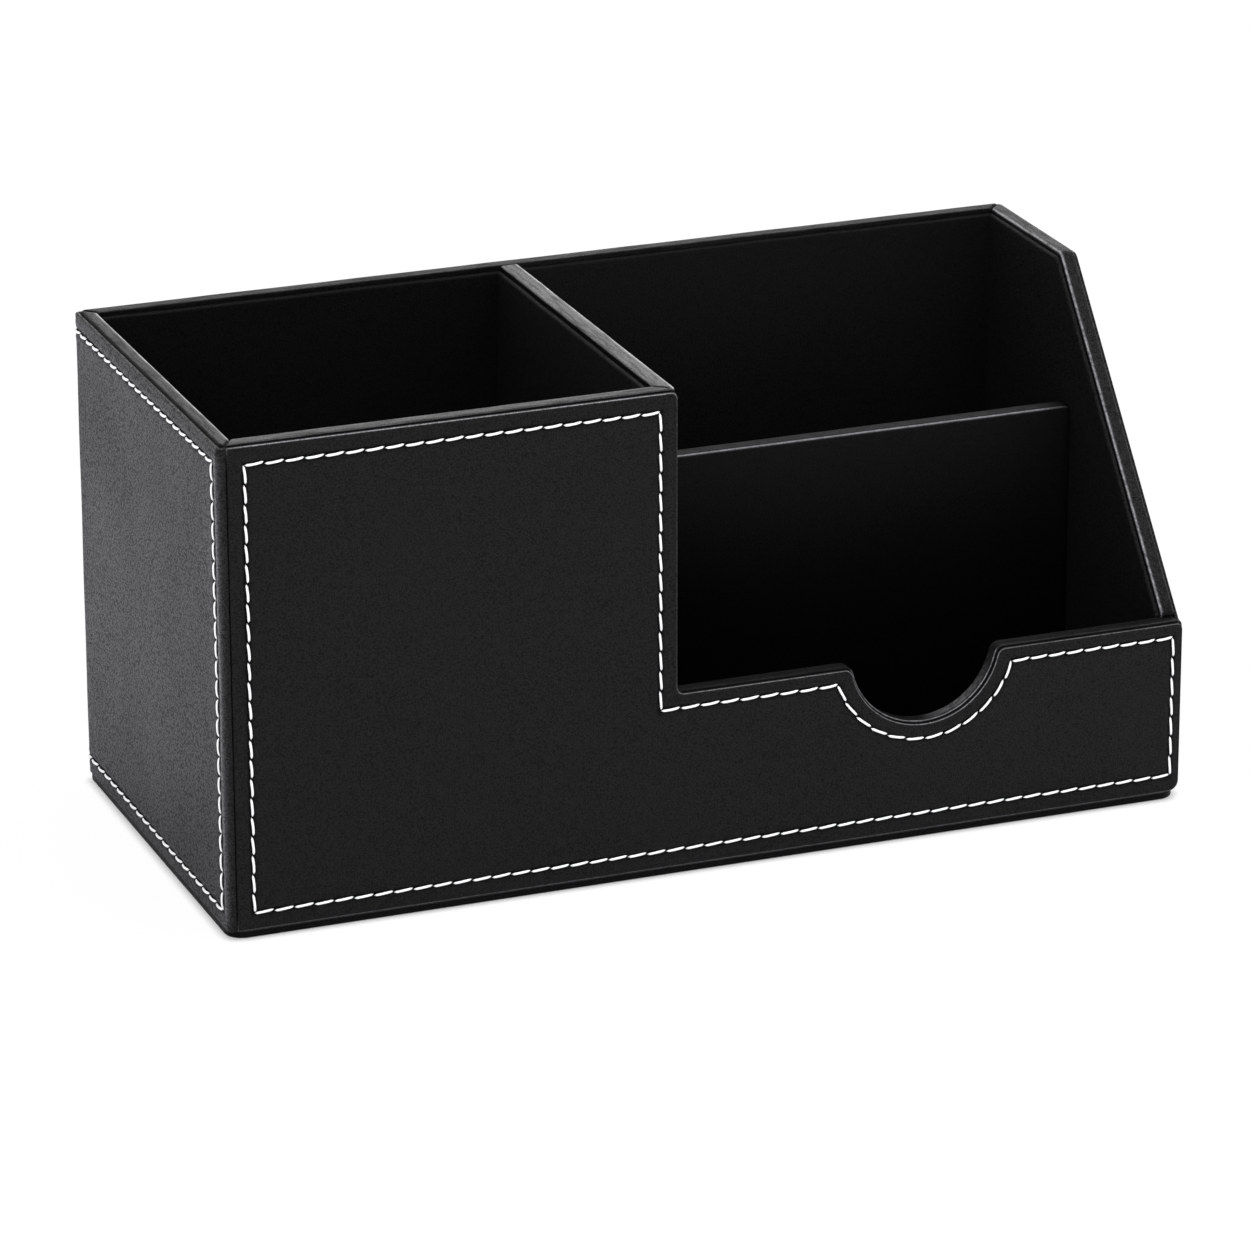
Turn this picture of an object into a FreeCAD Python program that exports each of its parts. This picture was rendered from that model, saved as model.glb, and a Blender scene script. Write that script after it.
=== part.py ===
# Black leather desk organizer: pen box on the left, letter slot and notched tray on the right.
# Boards wrapped in leatherette make the walls; stitched sheets cover them outside, linings inside.
# Millimetres. Origin under the middle of the object, X to the right, Y to the back, Z up.
import FreeCAD, Part
import Sketcher
import os

doc = FreeCAD.newDocument("DeskOrganizer")

sizes = {
    # whole object, over the outer sheets
    "overall_width": 245.0,
    "overall_depth": 111.2,
    "overall_height": 121.7,
    # layers of a wall, from the outside in
    "skin": 0.9,
    "wrap": 0.7,
    "wall_board": 2.2,
    "divider_board": 3.2,
    "lining": 1.0,
    # how far the sheets stop short of the rims
    "rim_reveal": 0.6,
    "lining_drop": 1.3,
    # rounded edges of the leather
    "rim_round": 0.9,
    "skin_round": 0.5,
    "lining_round": 0.6,
    # side skin: vertical corners, and its flat return on the front before the seam
    "corner_round": 2.0,
    "seam_flat": 0.2,
    # stepped front
    "pen_box_width": 112.5,
    "lip_height": 46.4,
    "step_round": 2.0,
    "panel_corner_round": 1.5,
    "panel_end_inset": 0.3,
    # thumb notch in the middle of the tray's lip, measured on its rim
    "notch_rise": 2.4,
    "notch_radius": 18.9,
    "notch_corner_round": 2.6,
    # sloped right wall, places measured from the front face
    "slope_foot": 2.4,
    "slope_top": 65.2,
    "slope_foot_round": 1.0,
    "slope_top_round": 3.0,
    # letter divider: place of its front face, and its height
    "letter_divider_place": 55.6,
    "letter_divider_height": 85.0,
    # floor and base
    "floor_board": 2.5,
    "floor_pad": 1.2,
    "pad_clearance": 0.3,
    "pad_round": 0.5,
    "base_plate": 1.5,
    "base_inset": 0.4,
    "base_corner_round": 4.5,
    "base_edge_round": 0.4,
    "felt": 0.6,
    "felt_inset": 3.0,
    # how far the cutting outlines run past what they cut
    "overrun": 5.0,
}

places = {
    # levels
    "foot": "Sizes.felt + Sizes.base_plate",
    "floor_top": "Sizes.felt + Sizes.base_plate + Sizes.floor_board",
    # outer faces of the sheets
    "left": "-Sizes.overall_width / 2",
    "right": "Sizes.overall_width / 2",
    "front": "-Sizes.overall_depth / 2",
    "back": "Sizes.overall_depth / 2",
    # outer faces of the wraps
    "rim_left": "Places.left + Sizes.skin",
    "rim_right": "Places.right - Sizes.skin",
    "rim_front": "Places.front + Sizes.skin",
    "rim_back": "Places.back - Sizes.skin",
    # inner faces of the wraps
    "rim_width": "Sizes.wall_board + 2 * Sizes.wrap",
    "bay_left": "Places.rim_left + Places.rim_width",
    "bay_right": "Places.rim_right - Places.rim_width",
    "bay_front": "Places.rim_front + Places.rim_width",
    "bay_back": "Places.rim_back - Places.rim_width",
    # dividers
    "divider_width": "Sizes.divider_board + 2 * Sizes.wrap",
    "step": "Places.left + Sizes.pen_box_width",
    "pen_right": "Places.step - Places.divider_width",
    "letter_front": "Places.front + Sizes.letter_divider_place",
    "letter_back": "Places.letter_front + Places.divider_width",
    # inner faces of the linings
    "pen_lined_left": "Places.bay_left + Sizes.lining",
    "pen_lined_right": "Places.pen_right - Sizes.lining",
    "tray_lined_left": "Places.step + Sizes.lining",
    "tray_lined_right": "Places.bay_right - Sizes.lining",
    "lined_front": "Places.bay_front + Sizes.lining",
    "lined_back": "Places.bay_back - Sizes.lining",
    # seam between the side skin and the front panel, and the panel's free end
    "seam": "Places.left + Sizes.corner_round + Sizes.seam_flat",
    "panel_end": "Places.right - Sizes.panel_end_inset",
    # thumb notch
    "notch_x": "(Places.step + Places.bay_right) / 2",
    "notch_z": "Sizes.lip_height + Sizes.notch_rise",
    # slope of the right wall; slope_shift is how far back each unit of inset moves an outline parallel to it
    "slope_foot_y": "Places.front + Sizes.slope_foot",
    "slope_top_y": "Places.front + Sizes.slope_top",
    "slope_angle": "atan2(Sizes.overall_height - Sizes.lip_height; Sizes.slope_top - Sizes.slope_foot)",
    "slope_shift": "tan(Places.slope_angle / 2)",
}


def fill_sheet(name, cells):
    sheet = doc.addObject("Spreadsheet::Sheet", name)
    for row, (alias, content) in enumerate(cells.items(), start=1):
        sheet.set(f"A{row}", alias)
        sheet.set(f"B{row}", content)
        sheet.setAlias(f"B{row}", alias)
    return sheet


fill_sheet("Sizes", {alias: str(value) for alias, value in sizes.items()})
place_sheet = fill_sheet("Places", {alias: "=" + formula for alias, formula in places.items()})
doc.recompute()


def number(expression):
    return float(place_sheet.evalExpression(expression))


tolerance = number("Sizes.wrap / 20")
pieces = []


# Sketches and features. Every length is an expression on the two sheets.

def new_body(name, level):
    body = doc.addObject("PartDesign::Body", name)
    body.Label = name
    body.setExpression("Placement.Base.z", level)
    return body


def new_sketch(body, role, start="0"):
    plane = next(item for item in body.Origin.OriginFeatures if item.Role == role)
    sketch = body.newObject("Sketcher::SketchObject", body.Name + "_outline")
    sketch.AttachmentSupport = [(plane, "")]
    sketch.MapMode = "FlatFace"
    sketch.setExpression("AttachmentOffset.Base.z", start)
    return sketch


def bind(sketch, constraint, expression):
    index = sketch.addConstraint(constraint)
    sketch.setExpression(f"Constraints[{index}]", expression)


def bind_point(sketch, element, point, across, along):
    bind(sketch, Sketcher.Constraint("DistanceX", element, point, number(across)), across)
    bind(sketch, Sketcher.Constraint("DistanceY", element, point, number(along)), along)


def draw_outline(sketch, corners):
    # closed run of straight lines through the corners
    points = [FreeCAD.Vector(number(across), number(along), 0) for across, along in corners]
    following = points[1:] + points[:1]
    for start, end in zip(points, following):
        sketch.addGeometry(Part.LineSegment(start, end), False)
    for index, (across, along) in enumerate(corners):
        previous = (index - 1) % len(corners)
        sketch.addConstraint(Sketcher.Constraint("Coincident", previous, 2, index, 1))
        bind_point(sketch, index, 1, across, along)


def draw_circle(sketch, across, along, radius):
    centre = FreeCAD.Vector(number(across), number(along), 0)
    circle = sketch.addGeometry(Part.Circle(centre, FreeCAD.Vector(0, 0, 1), number(radius)), False)
    bind_point(sketch, circle, 3, across, along)
    bind(sketch, Sketcher.Constraint("Radius", circle, number(radius)), radius)


def add_pad(body, corners, length, role="XY_Plane", start="0"):
    sketch = new_sketch(body, role, start)
    draw_outline(sketch, corners)
    pad = body.newObject("PartDesign::Pad", body.Name + "_pad")
    pad.Profile = sketch
    pad.setExpression("Length", length)
    doc.recompute()


def add_cut(body, sketch):
    # cut from the sketch's plane towards the front or the right, through the whole body
    before = body.Shape.Volume
    pocket = body.newObject("PartDesign::Pocket", body.Name + "_cut")
    pocket.Profile = sketch
    pocket.Type = "ThroughAll"
    pocket.Reversed = True
    doc.recompute()
    if body.Shape.Volume > before - tolerance:
        raise RuntimeError(body.Label + ": the cut removes nothing")


def add_round(body, radius, chosen):
    base = body.Tip
    names = [f"Edge{index}" for index, edge in enumerate(base.Shape.Edges, start=1) if chosen(edge)]
    if not names:
        raise RuntimeError(body.Label + ": no edge to round")
    fillet = body.newObject("PartDesign::Fillet", body.Name + "_round")
    fillet.Base = (base, names)
    fillet.setExpression("Radius", radius)
    doc.recompute()


# Edges are chosen by the planes that they lie on, in the body's own frame.

def lies_on(edge, axis, expression):
    place = number(expression)
    box = edge.BoundBox
    low, high = getattr(box, axis + "Min"), getattr(box, axis + "Max")
    return abs(low - place) < tolerance and abs(high - place) < tolerance


def on_corner(edge, axes, corners):
    return any(all(lies_on(edge, axis, place) for axis, place in zip(axes, corner)) for corner in corners)


def on_upper_face_edge(edge, axis, faces):
    # edges of upright faces, apart from their upright ends and their feet
    upright = edge.BoundBox.XLength < tolerance and edge.BoundBox.YLength < tolerance
    return any(lies_on(edge, axis, face) for face in faces) and not upright and not lies_on(edge, "Z", "0")


# Outlines that several pieces share. Each is moved in from the rim by its inset.

def box_plan(left, right, front, back):
    return [(left, front), (right, front), (right, back), (left, back)]


def wall_plan(side, inset):
    # plan of a wall, mitred at both ends
    outer = {"left": f"Places.rim_left + {inset}", "right": f"Places.rim_right - {inset}",
             "front": f"Places.rim_front + {inset}", "back": f"Places.rim_back - {inset}"}
    inner = {"left": f"Places.bay_left - {inset}", "right": f"Places.bay_right + {inset}",
             "front": f"Places.bay_front - {inset}", "back": f"Places.bay_back + {inset}"}
    if side in ("left", "right"):
        return [(outer[side], outer["front"]), (outer[side], outer["back"]),
                (inner[side], inner["back"]), (inner[side], inner["front"])]
    return [(outer["left"], outer[side]), (outer["right"], outer[side]),
            (inner["right"], inner[side]), (inner["left"], inner[side])]


def cut_slope(body, level, inset):
    # takes away what is above the lip and in front of the slope, and rounds the top of the slope
    foot = f"Sizes.lip_height - {inset} - {level}"
    top = f"Sizes.overall_height - {inset} - {level}"
    foot_y = f"Places.slope_foot_y + {inset} * Places.slope_shift"
    top_y = f"Places.slope_top_y + {inset} * Places.slope_shift"
    ahead = "Places.front - Sizes.overrun"
    above = f"Sizes.overall_height + Sizes.overrun - {level}"
    sketch = new_sketch(body, "YZ_Plane")
    draw_outline(sketch, [(ahead, foot), (foot_y, foot), (top_y, top), (top_y, above), (ahead, above)])
    add_cut(body, sketch)
    add_round(body, f"Sizes.slope_top_round - {inset}", lambda edge: on_corner(edge, "YZ", [(top_y, top)]))


def round_slope_foot(body, level, inset):
    foot = f"Sizes.lip_height - {inset} - {level}"
    foot_y = f"Places.slope_foot_y + {inset} * Places.slope_shift"
    add_round(body, f"Sizes.slope_foot_round + {inset}", lambda edge: on_corner(edge, "YZ", [(foot_y, foot)]))


def cut_notch(body, level, inset):
    # round thumb notch, with the corners where it meets the lip rounded over
    radius = f"(Sizes.notch_radius + {inset})"
    lip = f"Sizes.lip_height - {inset} - {level}"
    half = f"sqrt({radius} ^ 2 - (Sizes.notch_rise + {inset}) ^ 2)"
    ends = [(f"Places.notch_x - {half}", lip), (f"Places.notch_x + {half}", lip)]
    sketch = new_sketch(body, "XZ_Plane")
    draw_circle(sketch, "Places.notch_x", f"Places.notch_z - {level}", radius)
    add_cut(body, sketch)
    add_round(body, f"Sizes.notch_corner_round - {inset}", lambda edge: on_corner(edge, "XZ", ends))


# Walls and dividers. The same function makes a board, inset by the wrap, and the block of board and wrap.

def left_wall(name, inset):
    body = new_body(name, "Places.foot")
    add_pad(body, wall_plan("left", inset), f"Sizes.overall_height - Places.foot - {inset}")
    return body


def back_wall(name, inset):
    body = new_body(name, "Places.foot")
    add_pad(body, wall_plan("back", inset), f"Sizes.overall_height - Places.foot - {inset}")
    return body


def right_wall(name, inset):
    body = new_body(name, "Places.foot")
    add_pad(body, wall_plan("right", inset), f"Sizes.overall_height - Places.foot - {inset}")
    cut_slope(body, "Places.foot", inset)
    round_slope_foot(body, "Places.foot", inset)
    return body


def front_lip(name, inset):
    # low part of the front wall, over the whole width, with the thumb notch
    body = new_body(name, "Places.foot")
    add_pad(body, wall_plan("front", inset), f"Sizes.lip_height - Places.foot - {inset}")
    cut_notch(body, "Places.foot", inset)
    return body


def add_pen_front(body, inset):
    # tall part of the front wall, mitred into the pen divider at the step
    outer = f"Places.rim_front + {inset}"
    inner = f"Places.bay_front - {inset}"
    run = f"Places.divider_width * {inset} / Places.rim_width"
    plan = [(f"Places.rim_left + {inset}", outer), (f"Places.step - {run}", outer),
            (f"Places.pen_right + {run}", inner), (f"Places.bay_left - {inset}", inner)]
    add_pad(body, plan, f"Sizes.overall_height - Places.foot - {inset}")


def pen_divider(name, inset):
    # stands on the floor board, and reaches over the lip to the step with a mitred toe
    body = new_body(name, "Places.floor_top")
    left = f"Places.pen_right + {inset}"
    right = f"Places.step - {inset}"
    height = f"Sizes.overall_height - Places.floor_top - {inset}"
    lip = "Sizes.lip_height - Places.floor_top"
    run = f"Places.rim_width * {inset} / Places.divider_width"
    add_pad(body, box_plan(left, right, "Places.bay_front", "Places.bay_back"), height)
    toe = [(right, f"Places.rim_front + {run}"), (right, "Places.bay_front + Sizes.overrun"),
           (left, "Places.bay_front + Sizes.overrun"), (left, f"Places.bay_front - {run}")]
    add_pad(body, toe, f"Sizes.overall_height - Sizes.lip_height - {inset}", start=lip)
    return body


def letter_divider(name, inset):
    body = new_body(name, "Places.floor_top")
    plan = box_plan("Places.tray_lined_left", "Places.tray_lined_right",
                    f"Places.letter_front + {inset}", f"Places.letter_back - {inset}")
    add_pad(body, plan, f"Sizes.letter_divider_height - Places.floor_top - {inset}")
    return body


def turn_over(name, block, board):
    # the leatherette is what the board leaves of the block
    wrap = doc.addObject("Part::Cut", name)
    wrap.Label = name
    wrap.Base = block
    wrap.Tool = board
    pieces.extend([board, wrap])


def round_rim(body, axis, faces):
    add_round(body, "Sizes.rim_round", lambda edge: on_upper_face_edge(edge, axis, faces))


def make_wrapped(name, make, axis, faces):
    board = make(name + "_board", "Sizes.wrap")
    block = make(name + "_block", "0")
    round_rim(block, axis, faces)
    turn_over(name + "_wrap", block, board)


def make_wrapped_front():
    faces = ["Places.rim_front", "Places.bay_front"]
    board = front_lip("front_board", "Sizes.wrap")
    add_pen_front(board, "Sizes.wrap")
    block = front_lip("front_block", "0")
    round_rim(block, "Y", faces)
    add_pen_front(block, "0")
    top = "Sizes.overall_height - Places.foot"
    add_round(block, "Sizes.rim_round", lambda edge: on_corner(edge, "YZ", [(face, top) for face in faces]))
    turn_over("front_wrap", block, board)


# Outer sheets

def make_front_panel():
    body = new_body("front_panel", "Places.foot")
    lip = "Sizes.lip_height - Sizes.rim_reveal - Places.foot"
    top = "Sizes.overall_height - Sizes.rim_reveal - Places.foot"
    corners = [("Places.seam", "0"), ("Places.panel_end", "0"), ("Places.panel_end", lip),
               ("Places.step", lip), ("Places.step", top), ("Places.seam", top)]
    add_pad(body, corners, "Sizes.skin", role="XZ_Plane", start="-Places.rim_front")
    add_round(body, "Sizes.step_round", lambda edge: on_corner(edge, "XZ", [("Places.step", lip)]))
    free = [("Places.panel_end", "0"), ("Places.panel_end", lip), ("Places.step", top)]
    add_round(body, "Sizes.panel_corner_round", lambda edge: on_corner(edge, "XZ", free))
    cut_notch(body, "Places.foot", "Sizes.rim_reveal")
    add_round(body, "Sizes.skin_round", lambda edge: lies_on(edge, "Y", "Places.front"))
    pieces.append(body)


def make_side_skin():
    # one sheet from the seam round the left side, the back and the right side
    body = new_body("side_skin", "Places.foot")
    plan = [("Places.seam", "Places.front"), ("Places.left", "Places.front"),
            ("Places.left", "Places.back"), ("Places.right", "Places.back"),
            ("Places.right", "Places.rim_front"), ("Places.rim_right", "Places.rim_front"),
            ("Places.rim_right", "Places.rim_back"), ("Places.rim_left", "Places.rim_back"),
            ("Places.rim_left", "Places.rim_front"), ("Places.seam", "Places.rim_front")]
    add_pad(body, plan, "Sizes.overall_height - Sizes.rim_reveal - Places.foot")
    turns = [("Places.left", "Places.front"), ("Places.left", "Places.back"), ("Places.right", "Places.back")]
    add_round(body, "Sizes.corner_round", lambda edge: on_corner(edge, "XY", turns))
    cut_slope(body, "Places.foot", "Sizes.rim_reveal")
    round_slope_foot(body, "Places.foot", "Sizes.rim_reveal")
    add_round(body, "Sizes.skin_round", lambda edge: (
        on_upper_face_edge(edge, "X", ["Places.left", "Places.right"])
        or on_upper_face_edge(edge, "Y", ["Places.back"])))
    pieces.append(body)


# Linings stand on the floor board, against the wraps, with their inner upper edges rounded over.

def lining_sheet(name, plan, top="Sizes.overall_height"):
    body = new_body(name, "Places.floor_top")
    add_pad(body, plan, f"{top} - Sizes.lining_drop - Places.floor_top")
    pieces.append(body)
    return body


def soften(body, axis, face):
    add_round(body, "Sizes.lining_round", lambda edge: on_upper_face_edge(edge, axis, [face]))


def make_pen_linings():
    left, right = "Places.pen_lined_left", "Places.pen_lined_right"
    front, back = "Places.lined_front", "Places.lined_back"
    across = ("Places.bay_left", "Places.pen_right")
    soften(lining_sheet("pen_back_lining", box_plan(*across, back, "Places.bay_back")), "Y", back)
    soften(lining_sheet("pen_front_lining", box_plan(*across, "Places.bay_front", front)), "Y", front)
    soften(lining_sheet("pen_left_lining", box_plan("Places.bay_left", left, front, back)), "X", left)
    soften(lining_sheet("pen_divider_lining", box_plan(right, "Places.pen_right", front, back)), "X", right)


def make_bay_linings():
    left, right = "Places.tray_lined_left", "Places.tray_lined_right"
    front, back = "Places.lined_front", "Places.lined_back"
    back_plan = box_plan("Places.step", "Places.bay_right", back, "Places.bay_back")
    soften(lining_sheet("letter_back_lining", back_plan), "Y", back)
    divider_plan = box_plan("Places.step", left, "Places.bay_front", back)
    soften(lining_sheet("tray_divider_lining", divider_plan), "X", left)
    side = lining_sheet("right_lining", box_plan(right, "Places.bay_right", "Places.bay_front", back))
    cut_slope(side, "Places.floor_top", "Sizes.lining_drop")
    soften(side, "X", right)
    lip = lining_sheet("lip_lining", box_plan(left, right, "Places.bay_front", front), "Sizes.lip_height")
    cut_notch(lip, "Places.floor_top", "Sizes.lining_drop")
    soften(lip, "Y", front)


# Floor and base

def make_floor():
    board = new_body("floor_board", "Places.foot")
    inside = box_plan("Places.bay_left", "Places.bay_right", "Places.bay_front", "Places.bay_back")
    add_pad(board, inside, "Sizes.floor_board")
    pieces.append(board)
    pads = {
        "pen_floor_pad": ("pen_lined_left", "pen_lined_right", "lined_front", "lined_back"),
        "letter_floor_pad": ("tray_lined_left", "tray_lined_right", "letter_back", "lined_back"),
        "tray_floor_pad": ("tray_lined_left", "tray_lined_right", "lined_front", "letter_front"),
    }
    for name, (left, right, front, back) in pads.items():
        pad = new_body(name, "Places.floor_top")
        gap = "Sizes.pad_clearance"
        add_pad(pad, box_plan(f"Places.{left} + {gap}", f"Places.{right} - {gap}",
                              f"Places.{front} + {gap}", f"Places.{back} - {gap}"), "Sizes.floor_pad")
        add_round(pad, "Sizes.pad_round", lambda edge: lies_on(edge, "Z", "Sizes.floor_pad"))
        pieces.append(pad)


def base_sheet(name, level, thickness, inset):
    body = new_body(name, level)
    left, right = f"Places.left + {inset}", f"Places.right - {inset}"
    front, back = f"Places.front + {inset}", f"Places.back - {inset}"
    plan = box_plan(left, right, front, back)
    add_pad(body, plan, thickness)
    add_round(body, "Sizes.base_corner_round", lambda edge: on_corner(edge, "XY", plan))
    pieces.append(body)
    return body


def make_base():
    plate = base_sheet("base_plate", "Sizes.felt", "Sizes.base_plate", "Sizes.base_inset")
    add_round(plate, "Sizes.base_edge_round", lambda edge: (
        lies_on(edge, "Z", "0") or lies_on(edge, "Z", "Sizes.base_plate")))
    base_sheet("base_felt", "0", "Sizes.felt", "Sizes.felt_inset")


make_wrapped("left", left_wall, "X", ["Places.rim_left", "Places.bay_left"])
make_wrapped("back", back_wall, "Y", ["Places.rim_back", "Places.bay_back"])
make_wrapped("right", right_wall, "X", ["Places.rim_right", "Places.bay_right"])
make_wrapped_front()
make_wrapped("pen_divider", pen_divider, "X", ["Places.pen_right", "Places.step"])
make_wrapped("letter_divider", letter_divider, "Y", ["Places.letter_front", "Places.letter_back"])
make_front_panel()
make_side_skin()
make_pen_linings()
make_bay_linings()
make_floor()
make_base()
doc.recompute()


# Everything is checked before anything is written.

for item in doc.Objects:
    if "Invalid" in item.State or "Error" in item.State:
        raise RuntimeError(item.Name + " failed: " + ", ".join(item.State))
for piece in pieces:
    if piece.Shape.isNull() or not piece.Shape.isValid() or len(piece.Shape.Solids) != 1:
        raise RuntimeError(piece.Label + " is not one valid solid")

os.makedirs("parts", exist_ok=True)
for piece in pieces:
    piece.Shape.exportStep(f"parts/{piece.Label}.step")
    print(f"{piece.Label}: {piece.Shape.Volume:.1f} mm3")
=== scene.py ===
# Looks of a black stitched desk organizer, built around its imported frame.
# Shapes are worked out in millimetres in the frame's axes (X right, Y back, Z up) and written in metres.
import bpy
import numpy as np
from math import pi, radians, sqrt
from mathutils import Matrix, Vector
from mathutils.geometry import delaunay_2d_cdt


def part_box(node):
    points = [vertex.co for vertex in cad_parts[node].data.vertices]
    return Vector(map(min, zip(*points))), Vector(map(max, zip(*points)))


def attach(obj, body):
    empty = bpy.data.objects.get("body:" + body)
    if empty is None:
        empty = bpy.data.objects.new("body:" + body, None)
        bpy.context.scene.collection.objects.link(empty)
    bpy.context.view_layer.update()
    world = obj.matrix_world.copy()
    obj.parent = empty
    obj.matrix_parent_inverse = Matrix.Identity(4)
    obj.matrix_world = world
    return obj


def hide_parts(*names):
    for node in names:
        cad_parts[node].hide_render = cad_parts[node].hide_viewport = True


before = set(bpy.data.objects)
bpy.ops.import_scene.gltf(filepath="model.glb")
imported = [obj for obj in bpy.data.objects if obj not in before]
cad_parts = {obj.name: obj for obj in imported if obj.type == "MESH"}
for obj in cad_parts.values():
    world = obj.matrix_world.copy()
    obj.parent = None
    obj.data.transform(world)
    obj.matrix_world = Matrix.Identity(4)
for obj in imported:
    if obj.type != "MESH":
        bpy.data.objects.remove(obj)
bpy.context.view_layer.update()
mm = 0.001
scene = bpy.context.scene
scene.view_settings.view_transform = "Standard"
print("frame loaded:", len(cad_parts), "nodes")


# Camera

view = {
    "place": (-553.69, -1417.46, 606.44),
    "turn": 21.296,      # degrees to the right of straight back
    "tilt": 20.339,      # degrees down
    "roll": 0.1346,
    "lens": 190.72,
    "sensor": 36.0,
    "reach": 50.0,       # metres that the camera sees
}


def addCamera():
    data = bpy.data.cameras.new("photoView")
    data.lens = view["lens"]
    data.sensor_width = view["sensor"]
    data.clip_end = view["reach"]
    camera = bpy.data.objects.new("photoView", data)
    turn = Matrix.Rotation(-radians(view["turn"]), 4, "Z")
    tilt = Matrix.Rotation(radians(90 - view["tilt"]), 4, "X")
    roll = Matrix.Rotation(-radians(view["roll"]), 4, "Z")
    camera.matrix_world = Matrix.Translation(Vector(view["place"]) * mm) @ turn @ tilt @ roll
    scene.collection.objects.link(camera)
    scene.camera = camera


# Shader maths

class Wire:
    # one output of a node; maths on wires and numbers is written as plain expressions
    def __init__(self, recipe, socket):
        self.recipe = recipe
        self.socket = socket

    def math(self, operation, first, second):
        return self.recipe.node("Math", {"operation": operation}, {0: first, 1: second})

    def __add__(self, other):
        return self.math("ADD", self, other)

    def __sub__(self, other):
        return self.math("SUBTRACT", self, other)

    def __rsub__(self, other):
        return self.math("SUBTRACT", other, self)

    def __mul__(self, other):
        return self.math("MULTIPLY", self, other)

    __radd__ = __add__
    __rmul__ = __mul__


class Recipe:
    # the nodes of one material or of the world
    def __init__(self, tree):
        self.tree = tree
        self.tree.nodes.clear()

    def node(self, kind, settings, sockets, output=0):
        made = self.tree.nodes.new("ShaderNode" + kind)
        for name, value in settings.items():
            setattr(made, name, value)
        for name, value in sockets.items():
            if isinstance(value, Wire):
                self.tree.links.new(value.socket, made.inputs[name])
            else:
                made.inputs[name].default_value = value
        return Wire(self, made.outputs[output] if made.outputs else None)

    def tint(self, factor, first, second):
        # the first colour at 0, the second at 1
        return self.node("Mix", {"data_type": "RGBA"}, {0: factor, 6: first, 7: second}, 2)

    def ramp(self, value, start, end):
        # 0 up to start, 1 from end on, and a smooth step between
        return self.node("MapRange", {"interpolation_type": "SMOOTHSTEP"}, {0: value, 1: start, 2: end})

    def noise(self, place, size, detail, rough=0.5, output=0):
        # spots of about size mm
        sockets = {"Vector": place, "Scale": 1 / (size * mm), "Detail": detail, "Roughness": rough}
        return self.node("TexNoise", {}, sockets, output)

    def bump(self, height, depth):
        # depth is the mm that one unit of height stands for
        return self.node("Bump", {}, {"Height": height, "Distance": depth * mm, "Strength": 1.0})

    def cover(self, colour, rough, bump, gloss, sheen=0.0):
        return self.node("BsdfPrincipled", {}, {
            "Base Color": colour, "Roughness": rough, "Normal": bump,
            "Specular IOR Level": gloss, "Sheen Weight": sheen})

    def blend(self, factor, first, second):
        # the first shader at 0, the second at 1
        return self.node("MixShader", {}, {0: factor, 1: first, 2: second})

    def show(self, shader):
        self.node("OutputMaterial", {}, {"Surface": shader})


def newFinish(name):
    material = bpy.data.materials.new(name)
    material.use_nodes = True
    return material, Recipe(material.node_tree)


def grey(level, cool=1.04):
    # a touch cool, as the leatherette is
    return (level, level, level * cool, 1.0)


# Floor and light

studio = {
    "floorSize": 16000.0,
    "floorWhite": 0.9,
    "cameraWhite": 0.96,     # share of plain white in what the camera sees of the floor
    "contactReach": 2.5,     # mm that the painted contact shadow under the object spreads
    # how dark the painted contact shadow gets
    "contactShadowDepth": 0.8,
    "domeLevel": 0.9,
    "aim": (0.0, 0.0, 60.0),
}
softboxes = {
    "key": {"level": 20.0, "place": (-900.0, -1500.0, 1500.0), "size": 1000.0},
    "top": {"level": 9.0, "place": (450.0, -350.0, 1500.0), "size": 700.0},
    "back": {"level": 5.0, "place": (500.0, 1300.0, 750.0), "size": 800.0},
}


def addFloor():
    half = studio["floorSize"] / 2 * mm
    mesh = bpy.data.meshes.new("floor")
    corners = [(-half, -half, 0), (half, -half, 0), (half, half, 0), (-half, half, 0)]
    mesh.from_pydata(corners, [], [(0, 1, 2, 3)])
    material, recipe = newFinish("paleFloor")
    # painted contact shadow: what the camera sees of the floor darkens where ambient occlusion finds the
    # object close
    clear = recipe.node("AmbientOcclusion", {"samples": 1}, {"Distance": studio["contactReach"] * mm}, "AO")
    shade = recipe.tint(clear, grey(1 - studio["contactShadowDepth"], cool=1), grey(1, cool=1))
    diffuse = recipe.node("BsdfDiffuse", {}, {"Color": grey(studio["floorWhite"])})
    white = recipe.node("Emission", {}, {"Color": shade, "Strength": 1.0})
    seen = recipe.node("LightPath", {}, {}, "Is Camera Ray")
    recipe.show(recipe.blend(seen * studio["cameraWhite"], diffuse, white))
    mesh.materials.append(material)
    floor = bpy.data.objects.new("floor", mesh)
    scene.collection.objects.link(floor)


def addDome():
    world = bpy.data.worlds.new("studioDome")
    world.use_nodes = True
    recipe = Recipe(world.node_tree)
    dome = recipe.node("Background", {}, {"Color": (1, 1, 1, 1), "Strength": studio["domeLevel"]})
    recipe.node("OutputWorld", {}, {"Surface": dome})
    scene.world = world


def addSoftbox(name, look):
    data = bpy.data.lights.new(name + "Light", "AREA")
    data.energy = look["level"]
    data.size = look["size"] * mm
    lamp = bpy.data.objects.new(name + "Light", data)
    place, aim = Vector(look["place"]) * mm, Vector(studio["aim"]) * mm
    turned = (aim - place).to_track_quat("-Z", "Y").to_matrix().to_4x4()
    lamp.matrix_world = Matrix.Translation(place) @ turned
    scene.collection.objects.link(lamp)


addCamera()
addFloor()
addDome()
for name, look in softboxes.items():
    addSoftbox(name, look)
print("camera, floor and light set")


# Finishes

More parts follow.
